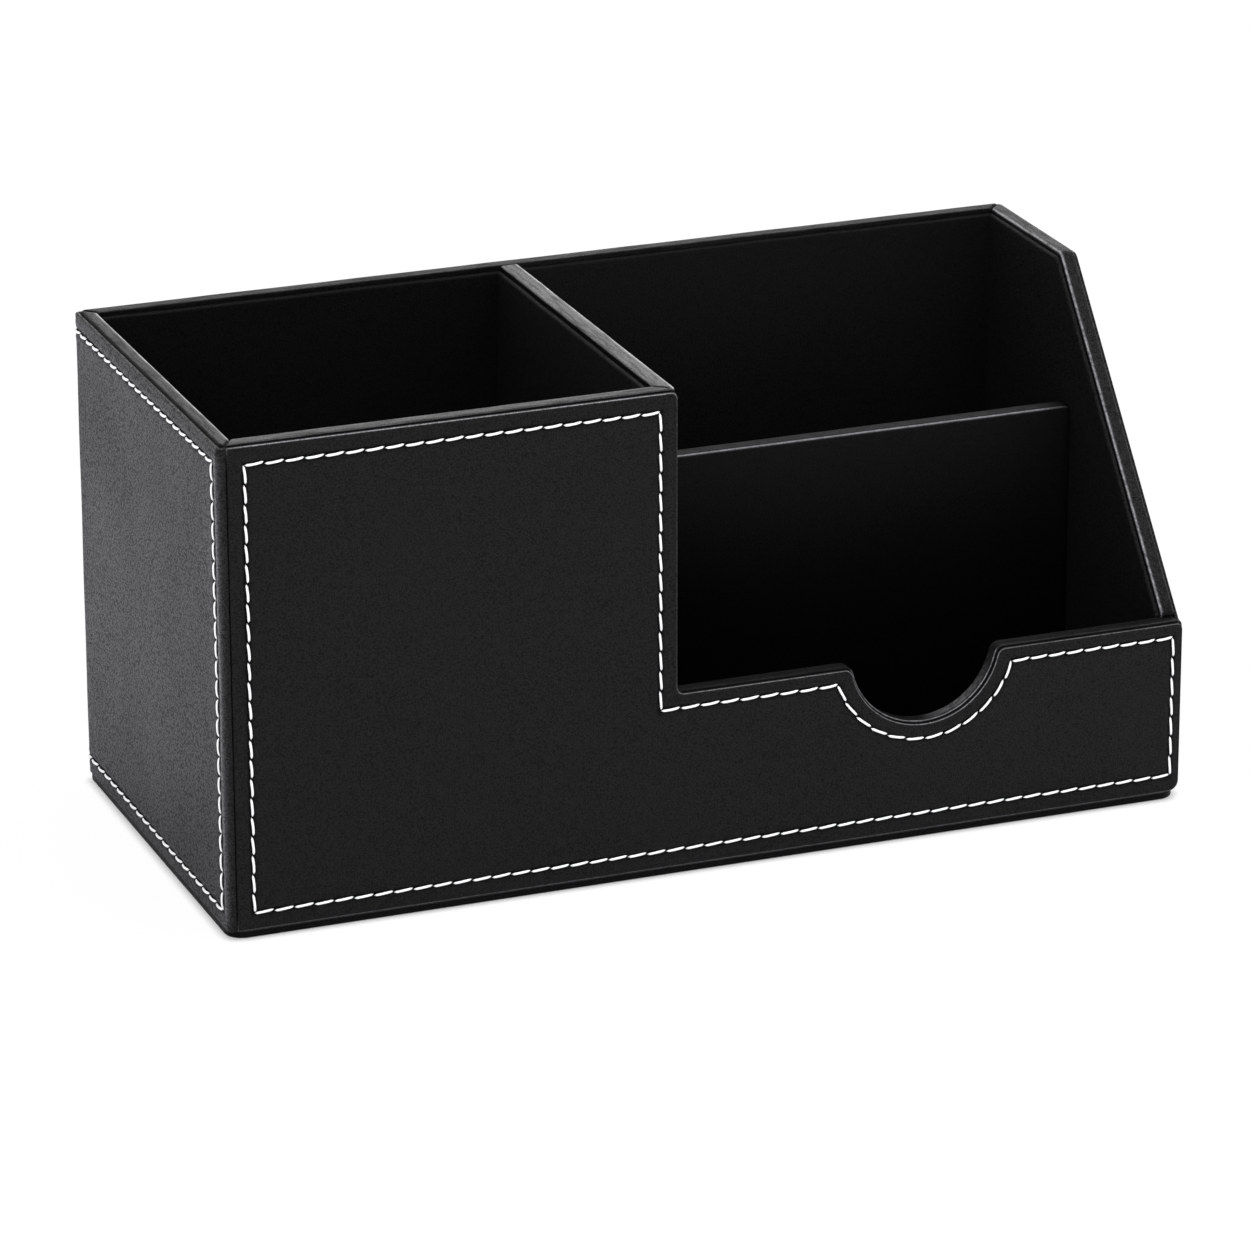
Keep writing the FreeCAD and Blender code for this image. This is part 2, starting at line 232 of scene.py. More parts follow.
leatherLook = {
    "colour": 0.0035,
    "grooveShade": 0.0015,       # colour of the painted shade in grooves, pores and under the stitches
    "paintedShadeStrength": 0.95,       # how dark the painted shade in the grooves is
    # roughness and gloss of the painted shade
    "shadeRough": 0.8,
    "shadeGloss": 0.03,
    "paintedHighlight": (0.8, 0.2),    # colour of the painted highlight on turned and cut edges, from the creases' lows to their highs
    # smoothness and gloss of the painted highlight
    "highlightSmooth": 0.12,
    "highlightGloss": 0.6,
    "grain": 0.34,           # mm between pebbles
    "grainStretch": (1, 1, 1),    # pebbles are longer along the axis with the smallest number
    "grainDepth": 0.08,      # mm
    "warp": 0.3,             # mm that the pebbles wander
    "warpLength": 4,         # pebbles from one bend to the next
    "poreShade": 0.5,             # how dark the painted shade in the pores between the pebbles is
    "poreSpan": (0.3, 0.75),
    "crease": 2.2,           # mm between the larger creases
    "creaseDepth": 0.06,     # mm
    "creaseDetail": 3.0,
    "creaseRough": 0.62,
    "stretch": (1, 1, 1),    # creases are drawn out along the axis with the smallest number
    "streak": 0.03,          # how dark the creases are
    "streakSpan": (0.42, 0.66),
    "cloud": 26.0,           # mm between dull and shiny patches
    "rough": 0.41,
    "roughChange": 0.12,
    "gloss": 0.16,
}
sideLook = {**leatherLook, "grain": 0.4, "grainStretch": (1, 0.5, 1), "poreShade": 0.55, "crease": 0.8,
            "stretch": (1, 0.5, 1), "streak": 0.05, "rough": 0.37}
baseLook = {**leatherLook, "colour": 0.002, "gloss": 0.06}
rimLook = {**leatherLook, "colour": 0.006, "poreShade": 0.35, "crease": 0.9, "creaseDepth": 0.12, "streak": 0.4}
alongX, alongY = (0.12, 1, 1), (1, 0.12, 1)
rimLooks = {
    "left_wrap": {**rimLook, "stretch": alongY, "gloss": 0.14},
    "back_wrap": {**rimLook, "stretch": alongX, "gloss": 0.07},
    "right_wrap": {**rimLook, "stretch": alongY, "gloss": 0.16},
    "front_wrap": {**rimLook, "stretch": alongX, "gloss": 0.25},
    "pen_divider_wrap": {**rimLook, "stretch": alongY, "gloss": 0.45},
}
liningLook = {**leatherLook, "colour": 0.0038, "poreShade": 0.3, "rough": 0.52, "gloss": 0.08}
litLiningLook = {**liningLook, "colour": 0.0098}    # painted light: a lighter copy of the lining for linings that face left


def leatherFinish(name, look):
    # pebbles are round cells that wander, creases drawn-out noise
    # height in mm = grainDepth * (1 - pebble) + creaseDepth * crease
    # darkness = 1 - (1 - painted shade in grooves) * (1 - painted shade in pores) * (1 - streak)
    material, recipe = newFinish(name)
    place = recipe.node("TexCoord", {}, {}, "Object")
    wander = recipe.noise(place, look["warpLength"] * look["grain"], 0.0, output="Color")
    amount = (look["warp"] * mm,) * 3
    grained = recipe.node("Mapping", {}, {"Vector": place, "Scale": look["grainStretch"]})
    moved = recipe.node("VectorMath", {"operation": "MULTIPLY_ADD"}, {0: wander, 1: amount, 2: grained})
    pebble = recipe.node("TexVoronoi", {}, {"Vector": moved, "Scale": 1 / (look["grain"] * mm)}, "Distance")
    drawn = recipe.node("Mapping", {}, {"Vector": place, "Scale": look["stretch"]})
    crease = recipe.noise(drawn, look["crease"], look["creaseDetail"], look["creaseRough"])
    cloud = recipe.noise(place, look["cloud"], 1.0)
    # painted shade in the valleys between the pebbles
    poreShade = recipe.ramp(pebble, *look["poreSpan"])
    streak = recipe.ramp(crease, *look["streakSpan"])
    # the first attribute is painted shade in grooves, seams and mitres, the second painted highlight on edges
    grooveShade = recipe.node("Attribute", {"attribute_name": "paintedShade"}, {}, "Fac")
    edge = recipe.node("Attribute", {"attribute_name": "edge"}, {}, "Fac")
    bump = recipe.bump(look["grainDepth"] * (1 - pebble) + look["creaseDepth"] * crease, 1)
    rough = look["rough"] + look["roughChange"] * (cloud + crease - 1)

    plain = recipe.tint(poreShade, grey(look["colour"]), grey(look["grooveShade"]))
    # colour of the painted highlight lines
    highlightLevel = recipe.tint(crease, *(grey(level) for level in look["paintedHighlight"]))
    shadeTone = recipe.tint(poreShade, grey(look["grooveShade"]), grey(look["grooveShade"] / 2))
    skin = recipe.cover(plain, rough, bump, look["gloss"])
    shine = recipe.cover(highlightLevel, rough - look["highlightSmooth"], bump, look["highlightGloss"])
    shade = recipe.cover(shadeTone, look["shadeRough"], bump, look["shadeGloss"])
    dark = 1 - (1 - look["paintedShadeStrength"] * grooveShade) * (1 - look["poreShade"] * poreShade) * (1 - look["streak"] * streak)
    recipe.show(recipe.blend(dark, recipe.blend(edge, skin, shine), shade))
    return material


threadLook = {
    "colour": 0.92,
    "shade": 0.62,           # between the plies
    "shadeShare": 0.7,
    "plies": 3.0,
    "turns": 2.2,            # of each ply along a stitch
    "depth": 0.05,           # mm
    "fuzz": 0.12,            # mm between fibres
    "fuzzShare": 0.4,
    "rough": 0.62,
    "gloss": 0.35,
    "sheen": 0.15,
}


def threadFinish(name, look):
    # plies wind round the thread: height = sine of (plies * around + turns * along)
    material, recipe = newFinish(name)
    spot = recipe.node("UVMap", {"uv_map": "wind"}, {})
    along = recipe.node("SeparateXYZ", {}, {"Vector": spot}, "X")
    around = recipe.node("SeparateXYZ", {}, {"Vector": spot}, "Y")
    turn = 2 * pi * (look["plies"] * around + look["turns"] * along)
    ply = 0.5 + 0.5 * recipe.node("Math", {"operation": "SINE"}, {0: turn})
    place = recipe.node("TexCoord", {}, {}, "Object")
    fuzz = recipe.noise(place, look["fuzz"], 3.0)
    bump = recipe.bump(ply + look["fuzzShare"] * fuzz, look["depth"])
    gap = look["shadeShare"] * (1 - ply) * fuzz
    colour = recipe.tint(gap, grey(look["colour"], cool=1), grey(look["shade"], cool=1))
    recipe.show(recipe.cover(colour, look["rough"], bump, look["gloss"], look["sheen"]))
    return material


napLook = {
    "colour": 0.008,
    "tip": 0.013,
    "fibre": 0.35,           # mm between fibres
    "fibreDetail": 6.0,
    "fibreRough": 0.7,
    "fibreShare": 0.6,
    "patch": 11.0,           # mm between patches that are brushed one way or the other
    "patchSpan": (0.6, 1.0),
    "depth": 0.12,           # mm
    "rough": 0.9,
    "gloss": 0.1,
    "sheen": 0.05,
}
feltLook = {**napLook, "colour": 0.012, "tip": 0.03, "fibre": 0.5, "patch": 14.0, "depth": 0.2}


def napFinish(name, look):
    # short fibres: fine noise over broad patches
    material, recipe = newFinish(name)
    place = recipe.node("TexCoord", {}, {}, "Object")
    fibre = recipe.noise(place, look["fibre"], look["fibreDetail"], look["fibreRough"])
    patch = recipe.noise(place, look["patch"], 2.0)
    bump = recipe.bump(fibre, look["depth"])
    brushed = recipe.ramp(patch + look["fibreShare"] * fibre, *look["patchSpan"])
    colour = recipe.tint(brushed, grey(look["colour"]), grey(look["tip"]))
    recipe.show(recipe.cover(colour, look["rough"], bump, look["gloss"], look["sheen"]))
    return material


boardLook = {
    "pale": (0.30, 0.26, 0.21, 1),
    "dark": (0.20, 0.17, 0.13, 1),
    "fibre": 0.8,            # mm
    "stretch": (1, 1, 6),
    "depth": 0.05,           # mm
    "rough": 0.85,
    "gloss": 0.5,
}


def boardFinish(name, look):
    # pressed board: noise stretched into fibres
    material, recipe = newFinish(name)
    place = recipe.node("TexCoord", {}, {}, "Object")
    drawn = recipe.node("Mapping", {}, {"Vector": place, "Scale": look["stretch"]})
    fibre = recipe.noise(drawn, look["fibre"], 4.0)
    bump = recipe.bump(fibre, look["depth"])
    colour = recipe.tint(fibre, look["pale"], look["dark"])
    recipe.show(recipe.cover(colour, look["rough"], bump, look["gloss"]))
    return material


finishes = {
    "front_panel": leatherFinish("grainedLeather", leatherLook),
    "side_skin": leatherFinish("sideLeather", sideLook),
    "base_plate": leatherFinish("baseLeather", baseLook),
    "lining": leatherFinish("dullLining", liningLook),
    "litLining": leatherFinish("litLining", litLiningLook),
    "thread": threadFinish("whiteThread", threadLook),
    "pad": napFinish("floorNap", napLook),
    "felt": napFinish("baseFelt", feltLook),
    "board": boardFinish("pressedBoard", boardLook),
    **{node: leatherFinish(node + "Leather", look) for node, look in rimLooks.items()},
}
for name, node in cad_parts.items():
    # the floor board is covered like the linings, because it shows in a thin line round the pads
    node.data.materials.clear()
    node.data.materials.append(finishes["lining" if name == "floor_board" else "board"])
print("finishes made:", len(finishes))


# Mesh helpers

sharpAngle = 60      # degrees from which an edge is shaded sharp
crowding = 2.4       # the higher, the closer the stations at a mitre
cornerSteps = 13     # points on a rounded corner
cornerMiddle = cornerSteps // 2
waveCount = 6        # sines in a soft wave
wavePace = 0.6, 1.6  # slowest and fastest of them
fillParts = 8        # parts in which a filling is measured, to save memory
nearness = 1e-5      # mm within which two points are one


def boxOf(node):
    low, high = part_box(node)
    return np.array(low) / mm, np.array(high) / mm


def addPiece(name, points, faces, finish, nodes):
    # faces is a list of index arrays, each with one count of corners
    mesh = bpy.data.meshes.new(name)
    corners = [face for group in faces for face in group.tolist()]
    mesh.from_pydata((np.asarray(points) * mm).tolist(), [], corners)
    mesh.shade_smooth()
    mesh.set_sharp_from_angle(angle=radians(sharpAngle))
    mesh.materials.append(finishes[finish])
    piece = bpy.data.objects.new(name, mesh)
    scene.collection.objects.link(piece)
    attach(piece, "root")
    if nodes:
        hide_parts(*nodes)
    return piece


def paint(piece, name, values):
    # one number for each point, which the finish reads
    layer = piece.data.attributes.new(name, "FLOAT", "POINT")
    layer.data.foreach_set("value", values.astype(np.float32))


def gridFaces(rows, columns, closed=False):
    # quads of a grid of points kept row after row; closed joins the last row to the first
    row = np.arange(rows if closed else rows - 1)[:, None] * columns
    after = (row + columns) % (rows * columns)
    column = np.arange(columns - 1)[None, :]
    corners = [row + column, row + column + 1, after + column + 1, after + column]
    return np.stack(corners, axis=-1).reshape(-1, 4)


def ringFaces(rows, columns):
    # quads between closed rings of points, one ring after the other
    row = np.arange(rows - 1)[:, None] * columns
    column = np.arange(columns)[None, :]
    after = (column + 1) % columns
    corners = [row + column, row + after, row + columns + after, row + columns + column]
    return np.stack(corners, axis=-1).reshape(-1, 4)


def unit(vector):
    return vector / np.linalg.norm(vector, axis=-1, keepdims=True)


def lengthOf(path):
    return np.linalg.norm(np.diff(path, axis=0), axis=1).sum()


def runOf(path):
    # length of a polyline up to each of its points
    return np.r_[0.0, np.cumsum(np.linalg.norm(np.diff(path, axis=0), axis=1))]


def pointsAt(path, shares):
    # points at the given shares of a polyline's length
    run = runOf(path)
    columns = np.asarray(path, float).T
    return np.stack([np.interp(shares * run[-1], run, column) for column in columns], axis=1)


def crowded(count, side):
    # shares from 0 to 1 that crowd towards the start or the end
    even = np.linspace(0, 1, count)
    return even ** crowding if side == "start" else 1 - (1 - even) ** crowding


def roundCorner(before, corner, after, radius):
    # arc that rounds a corner between two straight runs: the radius turns from one tangent point to the other
    before, corner, after = (np.asarray(point, float) for point in (before, corner, after))
    arriving, leaving = unit(corner - before), unit(after - corner)
    turn = np.arccos(np.clip(arriving @ leaving, -1, 1))
    reach = radius * np.tan(turn / 2)
    centre = corner + unit(leaving - arriving) * radius / np.cos(turn / 2)
    start, end = corner - reach * arriving - centre, corner + reach * leaving - centre
    share = np.linspace(0, 1, cornerSteps)[:, None]
    return centre + (np.sin((1 - share) * turn) * start + np.sin(share * turn) * end) / np.sin(turn)


def bell(distance, width):
    # 1 at no distance, and next to nothing at twice the width
    return np.exp(-(distance / width) ** 2)


def roundedEdge(radius, turn):
    # inset and drop of an edge that turns from its side (0) to its top (a quarter turn)
    return radius * (1 - np.cos(turn)), radius * (1 - np.sin(turn))


def softWaves(first, second, length, seed):
    # mean of slanted sines of about the given length
    dice = np.random.default_rng(seed)
    angle, start = dice.uniform(0, 2 * pi, (2, waveCount))
    pace = 2 * pi / length * dice.uniform(*wavePace, waveCount)
    phase = (first[..., None] * np.cos(angle) + second[..., None] * np.sin(angle)) * pace + start
    return np.sin(phase).mean(axis=-1)


def softened(values, width):
    # values round a closed loop, blended with their neighbours
    kernel = np.hanning(width + 2)
    padded = np.r_[values[-width:], values, values[:width]]
    return np.convolve(padded, kernel / kernel.sum(), "same")[width:-width]


def fillInside(loop, across, along, clear):
    # triangles inside a closed loop, over the crossings of two sets of lines that lie clear of the loop
    crossings = np.stack(np.meshgrid(across, along), axis=-1).reshape(-1, 2)
    parts = np.array_split(crossings, fillParts)
    gaps = np.concatenate([np.linalg.norm(part[:, None] - loop[None], axis=2).min(axis=1) for part in parts])
    points = np.concatenate([loop, crossings[gaps > clear]])
    around = np.arange(len(loop))
    edges = np.stack([around, np.roll(around, -1)], axis=1).tolist()
    found = delaunay_2d_cdt([Vector(point) for point in points], edges, [], 1, nearness)    # 1: only inside
    source = np.array([ids[0] for ids in found[3]])
    triangles = source[np.array(found[2])]
    used = np.unique(triangles[triangles >= len(loop)])
    fresh = np.full(len(points), -1)
    fresh[:len(loop)] = around
    fresh[used] = len(loop) + np.arange(len(used))
    return points[used], fresh[triangles]


# Sizes that the pieces share: boxes from the frame, and the outline of the bay's opening as in the part

panelLow, panelHigh = boxOf("front_panel")
skinLow, skinHigh = boxOf("side_skin")
leftLow, leftHigh = boxOf("left_wrap")
rightLow, rightHigh = boxOf("right_wrap")
dividerLow, dividerHigh = boxOf("pen_divider_wrap")
lipLow, lipHigh = boxOf("lip_lining")
step = dividerHigh[0]
foot = leftLow[2]
floorTop = dividerLow[2]
rimTop = leftHigh[2]

opening = {
    "lip": 46.4,             # height of the lip's rim
    "notchRise": 2.4,        # centre of the thumb notch above the lip
    "notchRadius": 18.9,
    "notchSteps": 60,
    "notchCorner": 2.6,
    "notchCornerSteps": 9,
    "slopeFoot": -53.2,      # where the sloped rim starts, in Y
    "slopeTop": 9.6,
    "slopeFootRound": 1.0,
    "slopeTopRound": 3.0,
}
notchX = (step + rightLow[0]) / 2
notchMiddle = opening["notchCornerSteps"] // 2
slopeRise = (rimTop - opening["lip"]) / (opening["slopeTop"] - opening["slopeFoot"])
slopeShift = np.tan(np.arctan(slopeRise) / 2)    # how far back an outline moves for each mm of inset


def circle(centre, radius, turn):
    return centre + radius * np.stack([np.cos(turn), np.sin(turn)], axis=1)


def notchLine(inset):
    # right corner arc, round notch and left corner arc, in X and Z, for a lip that is lower by the inset
    level = opening["lip"] - inset
    centre = np.array([notchX, opening["lip"] + opening["notchRise"]])
    radius = opening["notchRadius"] + inset
    corner = opening["notchCorner"] - inset
    reach = sqrt((radius + corner) ** 2 - (centre[1] - level + corner) ** 2)
    hub = np.array([notchX + reach, level - corner])
    meet = np.arctan2(*(hub - centre)[::-1])
    right = circle(hub, corner, np.linspace(pi / 2, meet + pi, opening["notchCornerSteps"]))
    arc = circle(centre, radius, np.linspace(meet, -pi - meet, opening["notchSteps"])[1:-1])
    left = right[::-1] * [-1, 1] + [2 * notchX, 0]
    return right, arc, left


# Stitched outer sheets

sheetLook = {
    "thick": 0.9,
    "edgeRound": 0.4,
    "edgeSteps": 8,
    "lineAt": 0.8,           # turn of the rounded edge where its painted highlight is strongest
    "line": 0.3,             # width of the painted highlight line, as a turn
    "seamShadeTurn": 1.3,        # turn up to which a seam's edge takes painted shade
    "highlightPlace": 1.2,     # mm from the stitch row towards the edge, where the painted highlight strip lies
    "highlightWidth": 1.3,
    "band": 4.2,             # mm from edge to stitch row, for the spacing of the band's lines
    "bandLines": (3.5, 3.2, 2.9, 2.6, 2.3, 2.0, 1.7, 1.4, 1.1, 0.85, 0.6, 0.4, 0.2, 0.0),
    "faceFrom": 0.25,        # share of the band where swells and waves start
    "field": 3.0,            # mm from stitch row to the flat field
    "fieldLines": (0.2, 0.4, 0.6, 0.85, 1.1, 1.4, 1.8, 2.3, 3.0),
    "groove": 0.26,
    "grooveWidth": 0.62,
    "hole": 0.2,
    "holeWidth": 0.5,
    "swell": 0.12,
    "swellPlace": 1.8,
    "swellWidth": 0.9,
    "swellEven": 0.45,       # share of the swell that stays at the needle holes
    "wave": 0.22,
    "waveLength": 55.0,
    "lineSpacing": 5.0,
    "lineClear": 3.5,        # mm from the field's lines to its outline
    # painted shade along the stitch groove
    "grooveShadeWidth": 0.72,
    "grooveShadeEven": 0.8,        # share of the groove's painted shade that is the same all along
    "perStitch": 9,          # points along each stitch
}
stitchLook = {
    "gap": 0.06,
    "blunt": 7,              # the higher, the less the ends taper
    "height": 0.5,
    "sink": -0.2,
    "rise": 0.4,
    "arch": 3,               # the higher, the flatter the middle
    "slant": 0.2,
    "rings": 9,
    "sides": 8,
    "stray": (0.1, 0.1, 0.03, 0.05),    # spread of gap, slant, place and rise
}


def outlineRuns(corners):
    # corners are (points, middle): runs from the middle of each corner's points to the middle of the next
    following = corners[1:] + corners[:1]
    return [np.concatenate([points[middle:], nextPoints[:nextMiddle + 1]])
            for (points, middle), (nextPoints, nextMiddle) in zip(corners, following)]


def sharpRuns(corners):
    return [np.array([start, end]) for start, end in zip(corners, corners[1:] + corners[:1])]


def stitchedSheet(name, node, edgeRuns, rowRuns, fieldRuns, bend, lines, rows):
    # a band runs inwards from the edge (share 0) over the stitch row (1) to the start of the flat field (2)
    # height over the sheet's face = rounded edge - groove - needle holes + swells beside the row + slow waves
    # for each run of the outline, pitch is the length of a stitch, and the rest say how strong the painted
    # highlight on the edge is, how strong the painted shade on the edge is, and how strong the painted
    # highlight on the strip beside the row is
    look = sheetLook
    counts = [max(1, round(lengthOf(run) / pitch)) for run, pitch in zip(rowRuns, rows["pitch"])]
    stations = [count * look["perStitch"] for count in counts]
    shares = [np.arange(station) / station for station in stations]
    edge, row, field = (np.concatenate([pointsAt(run, share) for run, share in zip(runs, shares)])
                        for runs in (edgeRuns, rowRuns, fieldRuns))
    phase = np.concatenate([share * count % 1 for share, count in zip(shares, counts)])

    turn = np.linspace(0, pi / 2, look["edgeSteps"])
    inset, drop = roundedEdge(look["edgeRound"], turn)
    outer = 1 - np.array(look["bandLines"]) / look["band"]
    inner = 1 + np.array(look["fieldLines"]) / look["field"]
    flatRows = np.zeros(len(outer) + len(inner))
    share = np.r_[0, inset / look["band"], outer, inner][:, None]
    lift = np.r_[-look["thick"], -drop, flatRows][:, None]
    away = np.where(share < 1, (1 - share) * look["band"], (share - 1) * look["field"])
    hole = np.minimum(phase, 1 - phase) * np.repeat(rows["pitch"], stations)
    face = np.clip(share / look["faceFrom"] - 1, 0, 1)
    lift = lift - look["groove"] * bell(away, look["grooveWidth"])
    lift = lift - look["hole"] * bell(away, look["holeWidth"]) * bell(hole, look["holeWidth"])
    puff = bell(away - look["swellPlace"], look["swellWidth"])
    puff = puff * (look["swellEven"] + (1 - look["swellEven"]) * np.sin(pi * phase) ** 2)
    lift = lift + face * look["swell"] * puff
    inwards = np.clip(share, 0, 1)[..., None]
    beyond = np.clip(share - 1, 0, 1)[..., None]
    band = edge + inwards * (row - edge) + beyond * (field - row)

    inside, triangles = fillInside(field, *lines, look["lineClear"])
    behind, hidden = fillInside(edge, *lines, look["lineClear"])
    count, columns = band.shape[:2]
    last = (count - 1) * columns
    flat = np.concatenate([band.reshape(-1, 2), inside, behind])
    height = np.concatenate([lift.ravel(), np.zeros(len(inside)), np.full(len(behind), -look["thick"])])
    facing = np.broadcast_to(face, lift.shape).ravel()
    facing = np.concatenate([facing, np.ones(len(inside)), np.zeros(len(behind))])
    height += facing * look["wave"] * softWaves(flat[:, 0], flat[:, 1], look["waveLength"], rows["sheetSeed"])
    points = bend(flat[:, 0], flat[:, 1], height)
    hidden = np.where(hidden < columns, hidden, hidden + last + len(inside))[:, ::-1]
    faces = [ringFaces(count, columns), triangles + last, hidden]
    piece = addPiece(name, points, faces, node, [node])

    edgeHighlight, rowSideHighlight, seamShade = (softened(np.repeat(rows[key], stations), 2 * look["perStitch"])
                            for key in ("edgeHighlight", "rowSideHighlight", "seamShade"))
    line = np.r_[0, bell(turn - look["lineAt"], look["line"]), flatRows]
    dark = np.r_[1, np.clip(1 - turn / look["seamShadeTurn"], 0, 1), flatRows]
    glow = bell(away - look["highlightPlace"], look["highlightWidth"]) * (share < 1)
    # painted shade in the stitch groove and on seam edges; painted highlight on the edge line and on the
    # strip beside the row
    groove = look["grooveShadeEven"] + (1 - look["grooveShadeEven"]) * np.cos(2 * pi * phase)
    paintedShade = np.maximum(bell(away, look["grooveShadeWidth"]) * groove, np.outer(dark, seamShade))
    paintedHighlight = np.maximum(np.outer(line, edgeHighlight), glow * rowSideHighlight)
    bare = np.zeros(len(points) - count * columns)
    paint(piece, "paintedShade", np.r_[paintedShade.ravel(), bare])
    paint(piece, "edge", np.r_[paintedHighlight.ravel(), bare])
    return counts


def stitching(name, rowRuns, counts, bend, rows):
    # each stitch is a capsule from hole to hole: its middle rises, its ends dive into the leather
    # thread is its width, and bow, for each run, how far its middle lies to the inner side
    look = stitchLook
    bow = np.repeat(rows["bow"], counts)[:, None]
    holes = [pointsAt(run, np.linspace(0, 1, count + 1)) for run, count in zip(rowRuns, counts)]
    start = np.concatenate([points[:-1] for points in holes])
    end = np.concatenate([points[1:] for points in holes])
    dice = np.random.default_rng(rows["threadSeed"])
    stray = dice.normal(0, 1, (4, len(start), 1)) * np.reshape(look["stray"], (4, 1, 1))
    along = unit(end - start)
    sideways = np.stack([-along[:, 1], along[:, 0]], axis=1)
    pitch = np.linalg.norm(end - start, axis=1)[:, None]
    share = np.linspace(0, 1, look["rings"])[None, :]
    turned = 2 * share - 1
    gap = look["gap"] * (1 + stray[0])
    reach = gap / 2 + (pitch - gap) * share
    offset = look["slant"] * (1 + stray[1]) * turned + bow * (1 - turned ** 2) + stray[2]
    rise = look["sink"] + look["rise"] * (1 + stray[3]) * (1 - np.abs(turned) ** look["arch"])
    girth = np.sqrt(1 - np.abs(turned) ** look["blunt"])[..., None]

    angle = np.arange(look["sides"]) / look["sides"] * 2 * pi
    wide = offset[..., None] + girth * rows["thread"] / 2 * np.cos(angle)
    tall = rise[..., None] + girth * look["height"] / 2 * np.sin(angle)
    centre = start[:, None, None] + reach[..., None, None] * along[:, None, None]
    flat = centre + wide[..., None] * sideways[:, None, None]
    body = np.concatenate([flat, tall[..., None]], axis=-1)
    poles = body[:, [0, -1], 0]
    rings = body[:, 1:-1].reshape(len(start), -1, 3)
    each = np.concatenate([rings, poles], axis=1)

    count, sides = look["rings"] - 2, look["sides"]
    around = np.arange(sides)
    after = (around + 1) % sides
    first, second = count * sides, count * sides + 1
    top = (count - 1) * sides
    caps = np.concatenate([np.stack([np.full(sides, first), after, around], axis=1),
                           np.stack([np.full(sides, second), top + around, top + after], axis=1)])
    base = np.arange(len(start))[:, None, None] * each.shape[1]
    points = bend(*each.reshape(-1, 3).T)
    faces = [(ringFaces(count, sides) + base).reshape(-1, 4), (caps + base).reshape(-1, 3)]
    piece = addPiece(name, points, faces, "thread", [])

    # where each corner of a face lies along and around its stitch
    level = np.repeat(np.arange(1.0, count), sides)
    turn = np.tile(around, count - 1)
    quadWind = np.stack([np.stack([level, level, level + 1, level + 1], axis=1),
                         np.stack([turn, turn + 1, turn + 1, turn], axis=1)], axis=-1)
    ones = np.ones((sides, 1))
    capAlong = np.concatenate([ones * [0, 1, 1], ones * [count + 1, count, count]])
    capAround = np.concatenate([around[:, None] + [0.5, 1.0, 0.0], around[:, None] + [0.5, 0.0, 1.0]])
    capWind = np.stack([capAlong, capAround], axis=-1)
    scale = np.array([1 / (count + 1), 1 / sides])
    wind = np.concatenate([np.tile(part * scale, (len(start), 1, 1)).reshape(-1, 2)
                           for part in (quadWind, capWind)])
    piece.data.uv_layers.new(name="wind").data.foreach_set("uv", wind.astype(np.float32).ravel())
    return len(start)


def spacedLines(low, high):
    return np.linspace(low, high, int((high - low) / sheetLook["lineSpacing"]) + 1)


# Front panel: stepped outline with the thumb notch, seen in X and Z

frontRows = {
    "left": 4.2, "bottom": 4.3, "right": 2.5, "lip": 3.4, "step": 4.3, "top": 4.5,    # mm from edge to row
    "notch": 23.8, "notchRise": 3.1, "notchSteps": 50,
    "corner": 1.5, "lowCorner": 2.6, "stepCorner": 2.0,
    "reveal": 0.6,           # mm that the sheet's edge stays below the rims
    "thread": 0.62,
    "pitch": (4.87,) * 8,    # for each run: bottom, right, lip, notch, lip, step, top, left
    "bow": (0.06,) * 8,
    # the next three give, for each run, the painted highlight on the edge, the painted highlight on the strip
    # beside the row and the painted shade on the edge
    "edgeHighlight": (0.3, 0.1, 0.25, 0.4, 0.35, 0.15, 0.6, 0.0),
    "rowSideHighlight": (0.0,) * 8,
    "seamShade": (0.0,) * 7 + (1.0,),
    "sheetSeed": 11, "threadSeed": 21,
}


def insetFront(extra):
    # corners of the stitch row, moved further in by extra, and the notch's arc between two of them
    rows = frontRows
    left, right = panelLow[0] + rows["left"] + extra, panelHigh[0] - rows["right"] - extra
    bottom, top = panelLow[2] + rows["bottom"] + extra, panelHigh[2] - rows["top"] - extra
    lip = opening["lip"] - rows["reveal"] - rows["lip"] - extra
    inner = step - rows["step"] - extra
    radius = rows["notch"] + extra
    centre = np.array([notchX, opening["lip"] + rows["notchRise"]])
    lean = np.arcsin((centre[1] - lip) / radius)
    arc = circle(centre, radius, np.linspace(-lean, -pi + lean, rows["notchSteps"]))
    corners = [np.array(point) for point in (
        (left, bottom), (right, bottom), (right, lip), arc[0],
        arc[-1], (inner, lip), (inner, top), (left, top))]
    runs = sharpRuns(corners)
    runs[3] = arc    # from one corner of the notch to the other
    return runs


def frontEdge():
    rows = frontRows
    left, right, bottom, top = panelLow[0], panelHigh[0], panelLow[2], panelHigh[2]
    lip = opening["lip"] - rows["reveal"]
    notchRight, arc, notchLeft = notchLine(rows["reveal"])
    turn = rows["corner"]
    lowerRight = roundCorner((left, bottom), (right, bottom), (right, lip), rows["lowCorner"])
    upperRight = roundCorner((right, bottom), (right, lip), (step, lip), turn)
    inner = roundCorner((right, lip), (step, lip), (step, top), rows["stepCorner"])
    stepTop = roundCorner((step, lip), (step, top), (left, top), turn)
    return outlineRuns([
        (np.array([[left, bottom]]), 0), (lowerRight, cornerMiddle), (upperRight, cornerMiddle),
        (np.concatenate([notchRight, arc]), notchMiddle), (notchLeft, notchMiddle),
        (inner, cornerMiddle), (stepTop, cornerMiddle), (np.array([[left, top]]), 0)])


def bendFront(across, up, height):
    return np.stack([across, panelLow[1] - height, up], axis=1)


